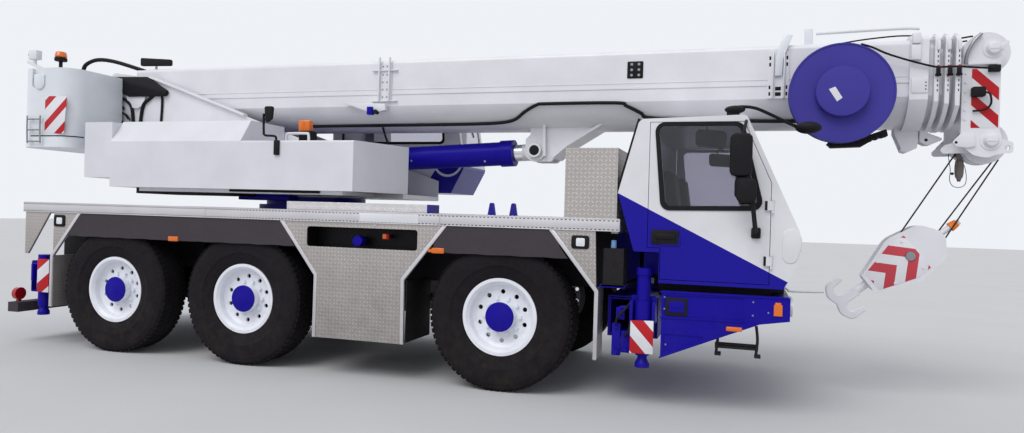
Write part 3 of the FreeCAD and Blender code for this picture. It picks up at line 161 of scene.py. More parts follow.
def ringAxes(direction):
    side = direction.orthogonal().normalized()
    return side, direction.cross(side).normalized()


def addRod(bm, start, end, radius, endRadius=None, segments=24, bevel=2):
    start, end = at(*start), at(*end)
    endRadius = radius if endRadius is None else endRadius
    line = end - start
    side, other = ringAxes(line.normalized())
    bevel = min(bevel, radius * 0.3, line.length * 300)
    stations = [(0, radius - bevel), (bevel, radius)]
    stations += [(line.length * 1000 - bevel, endRadius), (line.length * 1000, endRadius - bevel)]
    points = []
    for along, r in stations:
        centre = start + line.normalized() * (along / 1000)
        for k in range(segments):
            a = 2 * math.pi * k / segments
            points.append(centre + (side * math.cos(a) + other * math.sin(a)) * (r / 1000))
    faces = [tuple(range(segments)), tuple(range(4 * segments - 1, 3 * segments - 1, -1))]
    for row in range(3):
        for k in range(segments):
            low = row * segments
            faces.append((low + k, low + (k + 1) % segments, low + segments + (k + 1) % segments,
                          low + segments + k))
    addSolid(bm, points, faces)


def smoothPath(points, steps):
    path = []
    last = len(points) - 1
    for i in range(last):
        a, b = points[max(i - 1, 0)], points[i]
        c, d = points[i + 1], points[min(i + 2, last)]
        for k in range(steps):
            t = k / steps
            path.append(0.5 * ((2 * b) + (c - a) * t + (2 * a - 5 * b + 4 * c - d) * t * t
                               + (3 * b - a - 3 * c + d) * t * t * t))
    path.append(points[last])
    return path


def addPipe(bm, places, radius, segments=10, steps=6):
    path = smoothPath([at(*p) for p in places], steps)
    side = None
    points = []
    for i, here in enumerate(path):
        along = (path[min(i + 1, len(path) - 1)] - path[max(i - 1, 0)]).normalized()
        if side is None:
            side = along.orthogonal().normalized()
        side = (side - along * side.dot(along)).normalized()
        other = along.cross(side)
        for k in range(segments):
            a = 2 * math.pi * k / segments
            points.append(here + (side * math.cos(a) + other * math.sin(a)) * (radius / 1000))
    rows = len(path)
    faces = [tuple(range(segments)),
             tuple(range(rows * segments - 1, (rows - 1) * segments - 1, -1))]
    for row in range(rows - 1):
        for k in range(segments):
            low = row * segments
            faces.append((low + k, low + (k + 1) % segments, low + segments + (k + 1) % segments,
                          low + segments + k))
    addSolid(bm, points, faces)


def addLathe(bm, profile, centre, side=1, segments=96):
    # the profile is a closed loop of places along the axle and radii
    loop = len(profile)
    points = []
    for k in range(segments):
        a = 2 * math.pi * k / segments
        for along, r in profile:
            points.append(at(centre[0] + r * math.cos(a), centre[1] + side * along,
                             centre[2] + r * math.sin(a)))
    faces = []
    for k in range(segments):
        low, high = k * loop, ((k + 1) % segments) * loop
        for i in range(loop):
            j = (i + 1) % loop
            if profile[i][1] < 0.01 and profile[j][1] < 0.01:
                continue
            faces.append((low + i, low + j, high + j, high + i))
    lathe = bmesh.new()
    addSolid(lathe, points, faces)
    bmesh.ops.remove_doubles(lathe, verts=lathe.verts, dist=1e-6)
    bmesh.ops.dissolve_degenerate(lathe, edges=lathe.edges, dist=1e-6)
    absorb(bm, lathe)


# node helpers for the finishes
def node(tree, kind, sockets=None, **settings):
    made = tree.nodes.new(kind)
    for name, value in settings.items():
        setattr(made, name, value)
    for socket, value in (sockets or {}).items():
        if isinstance(value, bpy.types.NodeSocket):
            tree.links.new(value, made.inputs[socket])
        else:
            made.inputs[socket].default_value = value
    return made


def maths(tree, operation, a, b=0.5, clamp=False):
    made = node(tree, "ShaderNodeMath", {0: a, 1: b}, operation=operation, use_clamp=clamp)
    return made.outputs[0]


def mixed(tree, factor, a, b):
    return node(tree, "ShaderNodeMix", {0: factor, 6: a, 7: b}, data_type="RGBA").outputs[2]


def ramped(tree, value, low, high, lowTo=0.0, highTo=1.0):
    return node(tree, "ShaderNodeMapRange", {0: value, 1: low, 2: high, 3: lowTo, 4: highTo}).outputs[0]


def noise(tree, place, scale, detail=4.0, roughness=0.55):
    sockets = {"Vector": place, "Scale": scale, "Detail": detail, "Roughness": roughness}
    return node(tree, "ShaderNodeTexNoise", sockets).outputs["Fac"]


def xyz(tree, place):
    return node(tree, "ShaderNodeSeparateXYZ", {0: place}).outputs


def tone(red, green, blue):  # eight-bit screen colour
    linear = []
    for value in (red, green, blue):
        c = value / 255
        linear.append(c / 12.92 if c <= 0.04045 else ((c + 0.055) / 1.055) ** 2.4)
    return (*linear, 1.0)


grimeTone = tone(74, 66, 58)
finishes = {}


def makeFinish(name, colour, roughness, coat=0.0, metallic=0.0, spread=0.08, grime=0.25,
               grimeTop=1.3, relief=None, reliefDepth=0.0, sheen=0.0, shine=0.3):
    # colour and relief are a value or a function that adds nodes and gives a socket
    material = bpy.data.materials.new(name)
    material.use_nodes = True
    tree = material.node_tree
    shader = tree.nodes["Principled BSDF"]
    place = node(tree, "ShaderNodeTexCoord").outputs["Object"]
    base = colour(tree, place) if callable(colour) else colour
    cloud = noise(tree, place, 2.3, 5.0)
    darker = node(tree, "ShaderNodeHueSaturation", {"Value": 1 - spread, "Color": base}).outputs[0]
    base = mixed(tree, ramped(tree, cloud, 0.35, 0.65), base, darker)
    height = xyz(tree, place)[2]
    low = ramped(tree, height, grimeTop, 0.15)
    speck = ramped(tree, noise(tree, place, 9.0, 8.0, 0.7), 0.42, 0.72)
    dirty = maths(tree, "MULTIPLY", maths(tree, "MULTIPLY", low, speck), grime, True)
    base = mixed(tree, dirty, base, grimeTone)
    tree.links.new(base, shader.inputs["Base Color"])
    fine = noise(tree, place, 34.0, 3.0)
    rough = ramped(tree, fine, 0.3, 0.7, roughness * 0.88, min(roughness * 1.15, 1.0))
    tree.links.new(maths(tree, "ADD", rough, maths(tree, "MULTIPLY", dirty, 0.4), True),
                   shader.inputs["Roughness"])
    if callable(metallic):
        tree.links.new(metallic(tree, place), shader.inputs["Metallic"])
    else:
        shader.inputs["Metallic"].default_value = metallic
    shader.inputs["Specular IOR Level"].default_value = shine
    shader.inputs["Coat Weight"].default_value = coat
    shader.inputs["Coat Roughness"].default_value = 0.12
    if sheen:
        shader.inputs["Sheen Weight"].default_value = sheen
    surface = relief(tree, place) if relief else noise(tree, place, 160.0, 2.0)
    depth = reliefDepth if relief else 0.0003
    bump = node(tree, "ShaderNodeBump", {"Height": surface, "Distance": depth, "Strength": 0.6})
    tree.links.new(bump.outputs[0], shader.inputs["Normal"])
    finishes[name] = material
    return material


tones = {
    "white": tone(226, 226, 231),
    "cabWhite": tone(224, 223, 228),
    "blue": tone(28, 19, 150),
    "reelBlue": tone(66, 60, 152),
    # dark blue for the painted shade in the bumper's recesses
    "recessShadeBlue": tone(14, 9, 62),
    "red": tone(186, 20, 32),
    "rim": tone(224, 227, 241),
    "grey": tone(196, 202, 210),
    "black": tone(26, 25, 29),
    "rubber": tone(30, 27, 31),
    # dark grey that stands for the shade under the carrier
    "undersideShade": tone(52, 48, 54),
}

splitLine = {"rearX": 1066, "rearZ": 1831, "frontX": 2469, "frontZ": 1132}


def between(tree, place, axis, low, high):
    # 1 where a place lies between two limits along an axis, 0 elsewhere
    value = xyz(tree, place)[axis]
    low, high = (limit / 1000 + (frontAxle if axis == 0 else 0) for limit in (low, high))
    above = maths(tree, "GREATER_THAN", value, low)
    return maths(tree, "MULTIPLY", above, maths(tree, "LESS_THAN", value, high))


def framePaint(tree, place):
    # blue at both ends, painted shade in dark grey in the middle below the deck
    middle = maths(tree, "MULTIPLY", between(tree, place, 0, -5180, 930),
                   between(tree, place, 2, -100, 1597))
    return mixed(tree, middle, tones["blue"], tones["undersideShade"])


def treadPaint(tree, place):
    # darker towards the ground, and painted shade, near black, in the locker behind the cut-out
    x, y, z = xyz(tree, place)
    plate = mixed(tree, treadPattern(0.036)(tree, place), tone(178, 172, 169), tone(206, 202, 200))
    plate = mixed(tree, ramped(tree, z, 1.55, 0.5, 0.0, 0.35), plate, tone(112, 105, 102))
    inside = maths(tree, "MULTIPLY", maths(tree, "LESS_THAN", maths(tree, "ABSOLUTE", y), 1.262),
                   between(tree, place, 0, -2001, -799))
    inside = maths(tree, "MULTIPLY", inside, between(tree, place, 2, 1178, 1472))
    return mixed(tree, inside, plate, tone(24, 22, 26))


def deckLugs(tree, place):
    return maths(tree, "MULTIPLY", between(tree, place, 2, 1604, 1900),
                 between(tree, place, 0, -750, 250))


def deckPaint(tree, place):
    plate = mixed(tree, treadPattern(0.046)(tree, place), tone(182, 178, 178), tone(206, 203, 204))
    box = maths(tree, "MULTIPLY", between(tree, place, 0, -2290, -740),
                between(tree, place, 2, 1615, 1702))
    plate = mixed(tree, box, plate, tone(224, 221, 222))
    return mixed(tree, deckLugs(tree, place), plate, tones["blue"])


def deckMetal(tree, place):
    return maths(tree, "MULTIPLY", maths(tree, "SUBTRACT", 1.0, deckLugs(tree, place)), 0.6)


def upperPaint(tree, place):
    return mixed(tree, between(tree, place, 2, 0, 1752), tones["white"], tones["blue"])


def rodEnd(tree, place):
    return between(tree, place, 0, -172, 500)


def rodPaint(tree, place):
    return mixed(tree, rodEnd(tree, place), tone(225, 227, 230), tones["white"])


def rodMetal(tree, place):
    return maths(tree, "SUBTRACT", 1.0, rodEnd(tree, place))


def craneCabPaint(tree, place):
    # white behind a slanting line, blue in front of it below the window, with a white arc
    x, y, z = xyz(tree, place)
    lean = maths(tree, "MULTIPLY", maths(tree, "SUBTRACT", z, 2.153), 0.63)
    ahead = maths(tree, "GREATER_THAN", maths(tree, "SUBTRACT", x, lean), at(-1395, 0, 0).x)
    low = between(tree, place, 2, 1700, 2175)
    dx = maths(tree, "SUBTRACT", x, at(-1255, 0, 0).x)
    dz = maths(tree, "SUBTRACT", z, 2.235)
    away = maths(tree, "SQRT", maths(tree, "ADD", maths(tree, "MULTIPLY", dx, dx),
                                     maths(tree, "MULTIPLY", dz, dz)))
    arc = maths(tree, "LESS_THAN", maths(tree, "ABSOLUTE", maths(tree, "SUBTRACT", away, 0.178)), 0.014)
    blue = maths(tree, "MULTIPLY", maths(tree, "MULTIPLY", ahead, low), maths(tree, "SUBTRACT", 1.0, arc))
    return mixed(tree, blue, tones["white"], tones["blue"])


def lampPaint(tree, place):
    rear = mixed(tree, between(tree, place, 0, -6000, -5780), tone(226, 112, 22), tone(178, 16, 22))
    return mixed(tree, between(tree, place, 0, 2455, 2600), rear, tone(228, 231, 238))


def twoTone(tree, place):
    # blue below the slanting line along the cab's side, white above
    x, y, z = xyz(tree, place)
    slope = ((splitLine["frontZ"] - splitLine["rearZ"])
             / (splitLine["frontX"] - splitLine["rearX"]))
    line = maths(tree, "ADD", maths(tree, "MULTIPLY", x, slope),
                 splitLine["rearZ"] / 1000 - slope * at(splitLine["rearX"], 0, 0).x)
    above = ramped(tree, maths(tree, "SUBTRACT", z, line), -0.0008, 0.0008)
    return mixed(tree, above, tones["blue"], tones["cabWhite"])


def doorPaint(tree, place):
    # the mirror's foot and arms, part of the door's solid, are black
    aside = maths(tree, "ABSOLUTE", xyz(tree, place)[1])
    arm = maths(tree, "MULTIPLY", maths(tree, "GREATER_THAN", aside, 1.283),
                between(tree, place, 0, 1900, 2288))
    return mixed(tree, arm, twoTone(tree, place), tones["black"])


def apronPaint(tree, place):
    # lighter rubber beside the wheels, black tank behind the cab
    return mixed(tree, between(tree, place, 0, 900, 1400), tone(66, 61, 67), tone(31, 29, 33))


def rimTone(tree, place):
    # the inside of the rim is darker
    aside = maths(tree, "ABSOLUTE", xyz(tree, place)[1])
    return mixed(tree, ramped(tree, aside, 0.90, 0.99), tone(92, 84, 82), tone(236, 238, 246))


def bumperPaint(tree, place):
    # the floors of its recesses are painted darker blue as shade
    aside = maths(tree, "ABSOLUTE", xyz(tree, place)[1])
    return mixed(tree, ramped(tree, aside, 1.20, 1.264), tones["recessShadeBlue"], tones["blue"])


def slantedStripes(byX, byZ, offset, pitch, half=0.25, red="red"):
    # red bands, a part of the pitch wide on each side of their middle
    def stripes(tree, place):
        x, y, z = xyz(tree, place)
        turned = maths(tree, "ADD", maths(tree, "MULTIPLY", x, byX), maths(tree, "MULTIPLY", z, byZ))
        phase = maths(tree, "FRACT", maths(tree, "DIVIDE", maths(tree, "ADD", turned, offset), pitch))
        away = maths(tree, "ABSOLUTE", maths(tree, "SUBTRACT", phase, 0.5))
        return mixed(tree, ramped(tree, away, half - 0.003, half + 0.003), tones[red], tones["white"])
    return stripes


def treadPattern(size):
    # short raised bars that lean left and right by turns
    def bars(tree, place):
        x, y, z = xyz(tree, place)
        facing = node(tree, "ShaderNodeTexCoord").outputs["Normal"]
        flat = maths(tree, "GREATER_THAN", maths(tree, "ABSOLUTE", xyz(tree, facing)[2]), 0.7)
        across = maths(tree, "ADD", x, maths(tree, "MULTIPLY", y, maths(tree, "SUBTRACT", 1.0, flat)))
        up = maths(tree, "ADD", maths(tree, "MULTIPLY", y, flat),
                   maths(tree, "MULTIPLY", z, maths(tree, "SUBTRACT", 1.0, flat)))
        u = maths(tree, "DIVIDE", across, size)
        v = maths(tree, "DIVIDE", up, size)
        cell = maths(tree, "ADD", maths(tree, "FLOOR", u), maths(tree, "FLOOR", v))
        lean = maths(tree, "SUBTRACT", maths(tree, "MULTIPLY", maths(
            tree, "FLOORED_MODULO", cell, 2.0), 2.0), 1.0)
        cu = maths(tree, "SUBTRACT", maths(tree, "FRACT", u), 0.5)
        cv = maths(tree, "SUBTRACT", maths(tree, "FRACT", v), 0.5)
        along = maths(tree, "ADD", cu, maths(tree, "MULTIPLY", lean, cv))
        aside = maths(tree, "SUBTRACT", cv, maths(tree, "MULTIPLY", lean, cu))
        reach = maths(tree, "ADD", maths(tree, "POWER", maths(tree, "DIVIDE", along, 0.72), 2.0),
                      maths(tree, "POWER", maths(tree, "DIVIDE", aside, 0.22), 2.0))
        return ramped(tree, reach, 1.0, 0.2)
    return bars


makeFinish("whitePaint", tones["white"], 0.34, coat=0.3, grime=0.12)
makeFinish("coverPaint", tone(219, 219, 226), 0.36, coat=0.25, grime=0.1)
makeFinish("cabPaint", twoTone, 0.3, coat=0.1, grime=0.12, shine=0.1)
makeFinish("doorPaint", doorPaint, 0.3, coat=0.1, grime=0.12, shine=0.1)
makeFinish("bumperPaint", bumperPaint, 0.34, coat=0.03, grime=0.25, grimeTop=1.0, shine=0.06)
makeFinish("bluePaint", tones["blue"], 0.34, coat=0.03, grime=0.25, grimeTop=1.0, shine=0.06)
makeFinish("framePaint", framePaint, 0.45, coat=0.05, grime=0.4, grimeTop=1.5, shine=0.12)
makeFinish("reelPaint", tones["reelBlue"], 0.5, coat=0.05, grime=0.0, shine=0.15)
makeFinish("rimPaint", rimTone, 0.4, coat=0.2, grime=0.22, grimeTop=1.1)
makeFinish("greyPaint", tone(226, 230, 236), 0.36, coat=0.25, grime=0.1)
makeFinish("upperPaint", upperPaint, 0.36, coat=0.25, grime=0.12)
makeFinish("craneCabPaint", craneCabPaint, 0.34, coat=0.3, grime=0.05)
makeFinish("blackPaint", tones["black"], 0.5, grime=0.35, shine=0.15)
makeFinish("blackPlastic", tone(28, 27, 31), 0.6, grime=0.15, shine=0.15)
makeFinish("darkApron", apronPaint, 0.75, grime=0.45, grimeTop=1.7, shine=0.2)
makeFinish("tyreRubber", tones["rubber"], 0.85, grime=0.3, grimeTop=1.3, spread=0.2, shine=0.15)
makeFinish("treadPlate", treadPaint, 0.42, metallic=0.4, grime=0.3, grimeTop=1.6,
           relief=treadPattern(0.036), reliefDepth=0.003)
makeFinish("deckPlate", deckPaint, 0.42, metallic=deckMetal, grime=0.3, grimeTop=3.2,
           relief=treadPattern(0.046), reliefDepth=0.003)
makeFinish("aluminium", tone(212, 209, 213), 0.38, metallic=0.5, grime=0.25, grimeTop=1.7)
makeFinish("steel", tone(150, 152, 156), 0.35, metallic=0.9, grime=0.2)
makeFinish("rodPaint", rodPaint, 0.2, metallic=rodMetal, grime=0.0)
makeFinish("ropeSteel", tone(46, 40, 44), 0.5, metallic=0.4, grime=0.0)
makeFinish("amberLens", tone(226, 112, 22), 0.2, coat=0.6, grime=0.0)
makeFinish("lampPaint", lampPaint, 0.2, coat=0.6, grime=0.0)
makeFinish("whiteLens", tone(232, 234, 240), 0.18, coat=0.8, grime=0.0)
makeFinish("redPaint", tones["red"], 0.4, coat=0.2, grime=0.15, shine=0.2)
makeFinish("orangePlastic", tone(232, 120, 28), 0.45, grime=0.0)
makeFinish("paleBlue", tone(120, 160, 205), 0.4, grime=0.0)
makeFinish("olivePaint", tone(112, 104, 98), 0.5, grime=0.0)
makeFinish("seatCloth", tone(48, 47, 54), 0.9, grime=0.0, sheen=0.3, shine=0.1)
print("finishes made")


def makeGlass():
    material = bpy.data.materials.new("windowGlass")
    material.use_nodes = True
    tree = material.node_tree
    shader = tree.nodes["Principled BSDF"]
    place = node(tree, "ShaderNodeTexCoord").outputs["Object"]
    smear = ramped(tree, noise(tree, place, 6.0, 4.0), 0.3, 0.7, 0.02, 0.05)
    tree.links.new(smear, shader.inputs["Roughness"])
    shader.inputs["Base Color"].default_value = (0.5, 0.49, 0.56, 1)
    shader.inputs["Transmission Weight"].default_value = 1.0
    shader.inputs["IOR"].default_value = 1.45
    finishes["windowGlass"] = material


makeGlass()

# finishes of the solids that stay as they are
nodeFinish = {
    "chassis_frame": "framePaint", "driveline": "blackPaint", "deck": "deckPlate",
    "side_panels": "treadPlate", "fenders": "darkApron", "carrier_cab": "cabPaint",
    "cab_glass": "windowGlass", "cab_interior": "seatCloth", "bumper": "bumperPaint",
    "fittings": "lampPaint", "upper_frame": "upperPaint", "side_cover": "coverPaint",
    "counterweight": "greyPaint", "winch": "blackPaint", "crane_cab": "craneCabPaint",
    "crane_cab_glass": "windowGlass", "crane_cab_door": "craneCabPaint",
    "lift_barrel": "bluePaint", "lift_rod": "rodPaint", "boom_base": "whitePaint",
    "hose_reel": "reelPaint", "boom_section_2": "whitePaint", "boom_section_3": "whitePaint",
    "boom_section_4": "whitePaint", "boom_head": "whitePaint", "limit_weight": "olivePaint",
    "hook_sheaves": "blackPaint", "hook_block": "whitePaint", "hook": "whitePaint",
}
for side in bothSides:
    nodeFinish["cab_door_" + side] = "doorPaint"
    nodeFinish["door_glass_" + side] = "windowGlass"
    for number in wheelX:
        nodeFinish["knuckle_" + number + "_" + side] = "blackPaint"
        nodeFinish["tyre_" + number + "_" + side] = "tyreRubber"
        nodeFinish["rim_" + number + "_" + side] = "rimPaint"
    for end in ("front", "rear"):
        nodeFinish["outrigger_beam_" + end + "_" + side] = "bluePaint"
        nodeFinish["outrigger_jack_" + end + "_" + side] = "bluePaint"
for name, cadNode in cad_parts.items():
    cadNode.data.materials.clear()
    cadNode.data.materials.append(finishes[nodeFinish[name]])


# geometry node trees for what repeats
def repeatTree(name, layout):
    tree = bpy.data.node_groups.new(name, "GeometryNodeTree")
    face = tree.interface
    face.new_socket("Geometry", in_out="INPUT", socket_type="NodeSocketGeometry")
    inputs = [("Count", "NodeSocketInt"), ("Start", "NodeSocketVector"), ("Step", "NodeSocketVector"),
              ("Radius", "NodeSocketFloat"), ("Size", "NodeSocketVector"), ("Turn", "NodeSocketVector"),
              ("Finish", "NodeSocketMaterial")]
    for label, kind in inputs:
        face.new_socket(label, in_out="INPUT", socket_type=kind)
    face.new_socket("Geometry", in_out="OUTPUT", socket_type="NodeSocketGeometry")
    given = tree.nodes.new("NodeGroupInput").outputs
    block = node(tree, "GeometryNodeMeshCube", {"Size": given["Size"]}).outputs["Mesh"]
    turned = node(tree, "GeometryNodeTransform", {"Geometry": block, "Rotation": given["Turn"]})
    if layout == "row":
        line = node(tree, "GeometryNodeMeshLine", {"Count": given["Count"],
                "Start Location": given["Start"], "Offset": given["Step"]}).outputs["Mesh"]
        put = node(tree, "GeometryNodeInstanceOnPoints", {"Points": line, "Instance": turned.outputs[0]})
    else:
        circle = node(tree, "GeometryNodeMeshCircle", {"Vertices": given["Count"],
                                                       "Radius": given["Radius"]}).outputs["Mesh"]
        aim = node(tree, "FunctionNodeAlignRotationToVector", {"Vector": node(
            tree, "GeometryNodeInputPosition").outputs[0]}, axis="X", pivot_axis="Z")
        put = node(tree, "GeometryNodeInstanceOnPoints", {
            "Points": circle, "Instance": turned.outputs[0], "Rotation": aim.outputs[0]})
    real = node(tree, "GeometryNodeRealizeInstances", {"Geometry": put.outputs[0]})
    painted = node(tree, "GeometryNodeSetMaterial", {"Geometry": real.outputs[0],
                                                     "Material": given["Finish"]})
    out = tree.nodes.new("NodeGroupOutput")
    tree.links.new(painted.outputs[0], out.inputs[0])
    return tree


rowTree = repeatTree("rowOfTeeth", "row")
ringTree = repeatTree("ringOfBlocks", "ring")


def repeated(tree, finish, turn=None, **values):
    # runs the tree and gives its plain mesh, laid by the matrix where one is given
    holder = bpy.data.objects.new("holder", bpy.data.meshes.new("holder"))
    bpy.context.scene.collection.objects.link(holder)
    modifier = holder.modifiers.new("repeat", "NODES")
    modifier.node_group = tree
    ids = {i.name: i.identifier for i in tree.interface.items_tree if i.in_out == "INPUT"}
    values["Finish"] = finishes[finish]
    for label, value in values.items():
        modifier[ids[label]] = value
    bpy.context.view_layer.update()
    graph = bpy.context.evaluated_depsgraph_get()
    mesh = bpy.data.meshes.new_from_object(holder.evaluated_get(graph))
    holder.modifiers.clear()
    bpy.data.objects.remove(holder)
    if turn is not None:
        mesh.transform(turn)
    return mesh


def addMesh(bm, mesh):
    bm.from_mesh(mesh)
    bpy.data.meshes.remove(mesh)


# wheels
tyre = {"blocks": 72, "length": 0.041}
tyreProfile = [
    (129.5, 318.5), (129.5, 352), (136, 362), (152, 366), (158, 372), (158, 380), (166, 392),
    (176, 425), (186, 470), (190, 474), (190, 480), (189, 484), (192, 520), (191, 565), (187, 600),
    (187, 606), (184, 612), (178, 634), (166, 656), (144, 669), (100, 674), (92, 674), (90, 664),
    (80, 664), (78, 675), (8, 676), (6, 665), (0, 665),
]
hubCap = [(134, 0), (134, 130), (137, 136), (147, 136), (151, 133), (153, 126), (153, 60), (155, 54),
          (155, 0)]
hubBarrel = [(60, 0), (60, 122), (66, 126), (132, 124), (135, 118), (135, 0)]
nut = {"count": 10, "circle": 172, "size": 30}


def makeWheel(number, side):
    sign = bothSides[side]
    body = "wheel_" + number + "_" + side
    centre = (wheelX[number], sign * wheelY, wheelZ)
    rubber = into(body, "tyreRubber")
    loop = tyreProfile + [(-a, r) for a, r in reversed(tyreProfile[:-1])]
    addLathe(rubber, loop, centre, sign, 128)
    upright = Matrix.Translation(at(*centre)) @ Matrix.Rotation(math.pi / 2, 4, "X")
    rows = (
        # offset along the axle, width, lean, radius, half a step on
        (120, 74, 0.16, 674, 0), (43, 62, 0.22, 677, 1), (-43, 62, 0.22, 677, 0), (-120, 74, 0.16, 674,
                1),
    )
    for offset, width, lean, radius, half in rows:
        spin = Matrix.Rotation(half * math.pi / tyre["blocks"], 4, "Z")
        shift = Matrix.Translation((0, 0, offset / 1000))
        mesh = repeated(
            ringTree, "tyreRubber", upright @ shift @ spin, Count=tyre["blocks"], Radius=radius / 1000,
            Size=(2 * (680 - radius) / 1000, tyre["length"], width / 1000), Turn=(lean, 0, 0),
        )
        addMesh(rubber, mesh)
    addLathe(into(body, "bluePaint"), hubCap, centre, sign, 64)
    addLathe(into(body, "rimPaint"), hubBarrel, centre, sign, 64)
    nuts = repeated(
        ringTree, "rimPaint", upright @ Matrix.Translation((0, 0, -sign * 0.064)), Count=nut["count"],
        Radius=nut["circle"] / 1000, Size=(nut["size"] / 1000,) * 3, Turn=(0, 0, 0),
    )
    addMesh(into(body, "rimPaint"), nuts)


for number in wheelX:
    for side in bothSides:
        makeWheel(number, side)
print("wheels made")

# deck edge, skirts and what hangs below the deck
deckEdge = {
    "rearX": -5676, "frontX": 1091, "pitch": 38, "lengths": ((-5676, -3205), (-3202, -585), (-582, 1091)),
    "rows": ((1606, "aluminium"), (1588, "blackPaint"), (1511, "blackPaint")),
}


def makeDeckEdge():
    strip = into("carrier", "aluminium")
    span = deckEdge["frontX"] - deckEdge["rearX"]
    count = int(span / deckEdge["pitch"])
    for side in bothSides.values():
        y = side * halfBody
        for x0, x1 in deckEdge["lengths"]:
            addBox(strip, x0, x1, y - side * 2, y + side * 4, 1500, 1599, bevel=2)
            addBox(strip, x0, x1, y - side * 2, y + side * 9, 1497, 1505, bevel=2)
            addBox(strip, x0, x1, y - side * 60, y + side * 7, 1597, 1606, bevel=2)
        for z, finish in deckEdge["rows"]:
            onTop = finish == "aluminium"
            start = at(deckEdge["rearX"] + 20, y + side * (-12 if onTop else 4), z)
            size = (0.02, 0.012, 0.006) if onTop else (0.018, 0.002, 0.007)
            teeth = repeated(rowTree, finish, None, Count=count, Start=start,
                             Step=(deckEdge["pitch"] / 1000, 0, 0), Size=size, Turn=(0, 0, 0))
            addMesh(into("carrier", finish), teeth)


def addStrip(bm, line, width, y0, y1):
    # a flat strip beside a line of places; a positive width lies to its left
    points = [Vector(p) for p in line]
    inner = []
    for i, here in enumerate(points):
        before = (here - points[i - 1]).normalized() if i else (points[1] - here).normalized()
        after = (points[i + 1] - here).normalized() if i < len(points) - 1 else before
        a = Vector((-before.y, before.x))
        b = Vector((-after.y, after.x))
        inner.append(here + (a + b) * (width / (1 + a.dot(b))))
    addPlate(bm, [tuple(p) for p in points + inner[::-1]], y0, y1, bevel=2)


skirtEdges = [
    # line along the skirt's edge, width to its inner side
    ([(-2305, 1496), (-1901, 971), (-1904, 367)], 34),
    ([(-923, 367), (-931, 974), (-511, 1496)], 34),
    ([(463, 1496), (886, 968), (886, 377)], 34),
    ([(-5238, 448), (-5232, 1011), (-4847, 1496)], 34),
]


def squareLamp(bm, lens, x0, x1, z0, z1, side):
    y = side * halfBody
    frameLine = [(x0, z0, 25), (x1, z0, 25), (x1, z1, 25), (x0, z1, 25)]
    addPlate(bm, frameLine, y - side * 3, y + side * 7, bevel=3)
    mx, mz = (x0 + x1) / 2, (z0 + z1) / 2
    addPlate(lens, [(mx - 36, mz - 36, 12), (mx + 42, mz - 36, 12), (mx + 42, mz + 36, 12),
                    (mx - 36, mz + 36, 12)], y + side * 5, y + side * 12, bevel=4)


def makeSkirts():
    metal = into("carrier", "aluminium")
    black = into("carrier", "blackPlastic")
    lens = into("carrier", "whiteLens")
    amber = into("carrier", "amberLens")
    for side in bothSides.values():
        y = side * halfBody
        for line, width in skirtEdges:
            addStrip(metal, line, width, y - side * 4, y + side * 4)
        squareLamp(black, lens, 669, 828, 1336, 1454, side)
        squareLamp(black, lens, -5225, -5065, 1342, 1472, side)
        # what shows in the cut-out, all in the shade of the deck
        shade = into("carrier", "blackPaint")
        addRod(into("carrier", "bluePaint"), (-1470, y - side * 150, 1320), (-1470, y - side * 60, 1320),
               52)
        addRod(shade, (-1470, y - side * 215, 1320), (-1470, y - side * 150, 1320), 40)
        addBox(into("carrier", "redPaint"),
               -1215, -1150, y - side * 130, y - side * 90, 1345, 1402, bevel=6)
        addBox(into("carrier", "amberLens"),
               -1210, -1168, y - side * 92, y - side * 78, 1350, 1398, bevel=6)
        addRod(shade, (-1180, y - side * 215, 1372), (-1180, y - side * 130, 1372), 16)
        # orange side markers, then bolts of the valance
        for x0 in (-657, -3660):
            addBox(amber, x0, x0 + 125, y - side * 14, y + side * 10, 1238, 1290, bevel=8)
        for bolt in ((-2240, 1478), (-1250, 1478), (-590, 1478), (-2240, 1440)):
            addRod(metal, (bolt[0], y - side * 2, bolt[1]), (bolt[0], y + side * 6, bolt[1]),
                   9, segments=8)


def makeCarrierInside():
    # black plates of painted shade that close the view through the carrier, tank cap, shelf and a blank
    # plate
    dark = into("carrier", "blackPaint")
    for side in bothSides.values():
        addBox(dark, 1330, 1700, side * 700, side * 712, 1000, 1400, bevel=2)
        addBox(dark, 1400, 2450, side * 900, side * 912, 936, 1100, bevel=2)
        addBox(dark, -915, -905, side * 700, side * 1262, 380, 970, bevel=2)
        addBox(dark, -1910, -1900, side * 700, side * 1262, 380, 970, bevel=2)
        addRod(into("carrier", "paleBlue"), (1031, side * 1195, 1350), (1031, side * 1195, 1421),
               25, 24, bevel=4)
        addBox(into("carrier", "bluePaint"), 923, 1141, side * 1060, side * 1255, 1010, 1038, bevel=4)
        edge = side * halfBody
        addPlate(into("carrier", "whitePaint"),
                 [(-1413, 1510, 6), (-795, 1510, 6), (-795, 1592, 6), (-1413, 1592, 6)],
                 edge + side * 3, edge + side * 10, bevel=2)
        # black plates of painted shade beside the frame, then one behind the front jack
        for x0, x1, depth, z0, z1 in (
            (-5240, -3400, 545, 1000, 1490), (-3800, -3390, 545, 450, 1400), (-5240, -5050, 545, 400,
                    1480),
            (-5640, -5240, 760, 960, 1490), (-5640, -5240, 760, 450, 600),
        ):
            addBox(dark, x0, x1, side * depth, side * (depth + 10), z0, z1, bevel=2)
        addBox(into("carrier", "bluePaint"), 1270, 1480, side * 1000, side * 1010, 1130, 1440, bevel=2)


flap = {"lowHalf": 640, "highHalf": 545, "rearHalf": 610, "bottomZ": 1246, "topZ": 1374, "keep": 0.1}


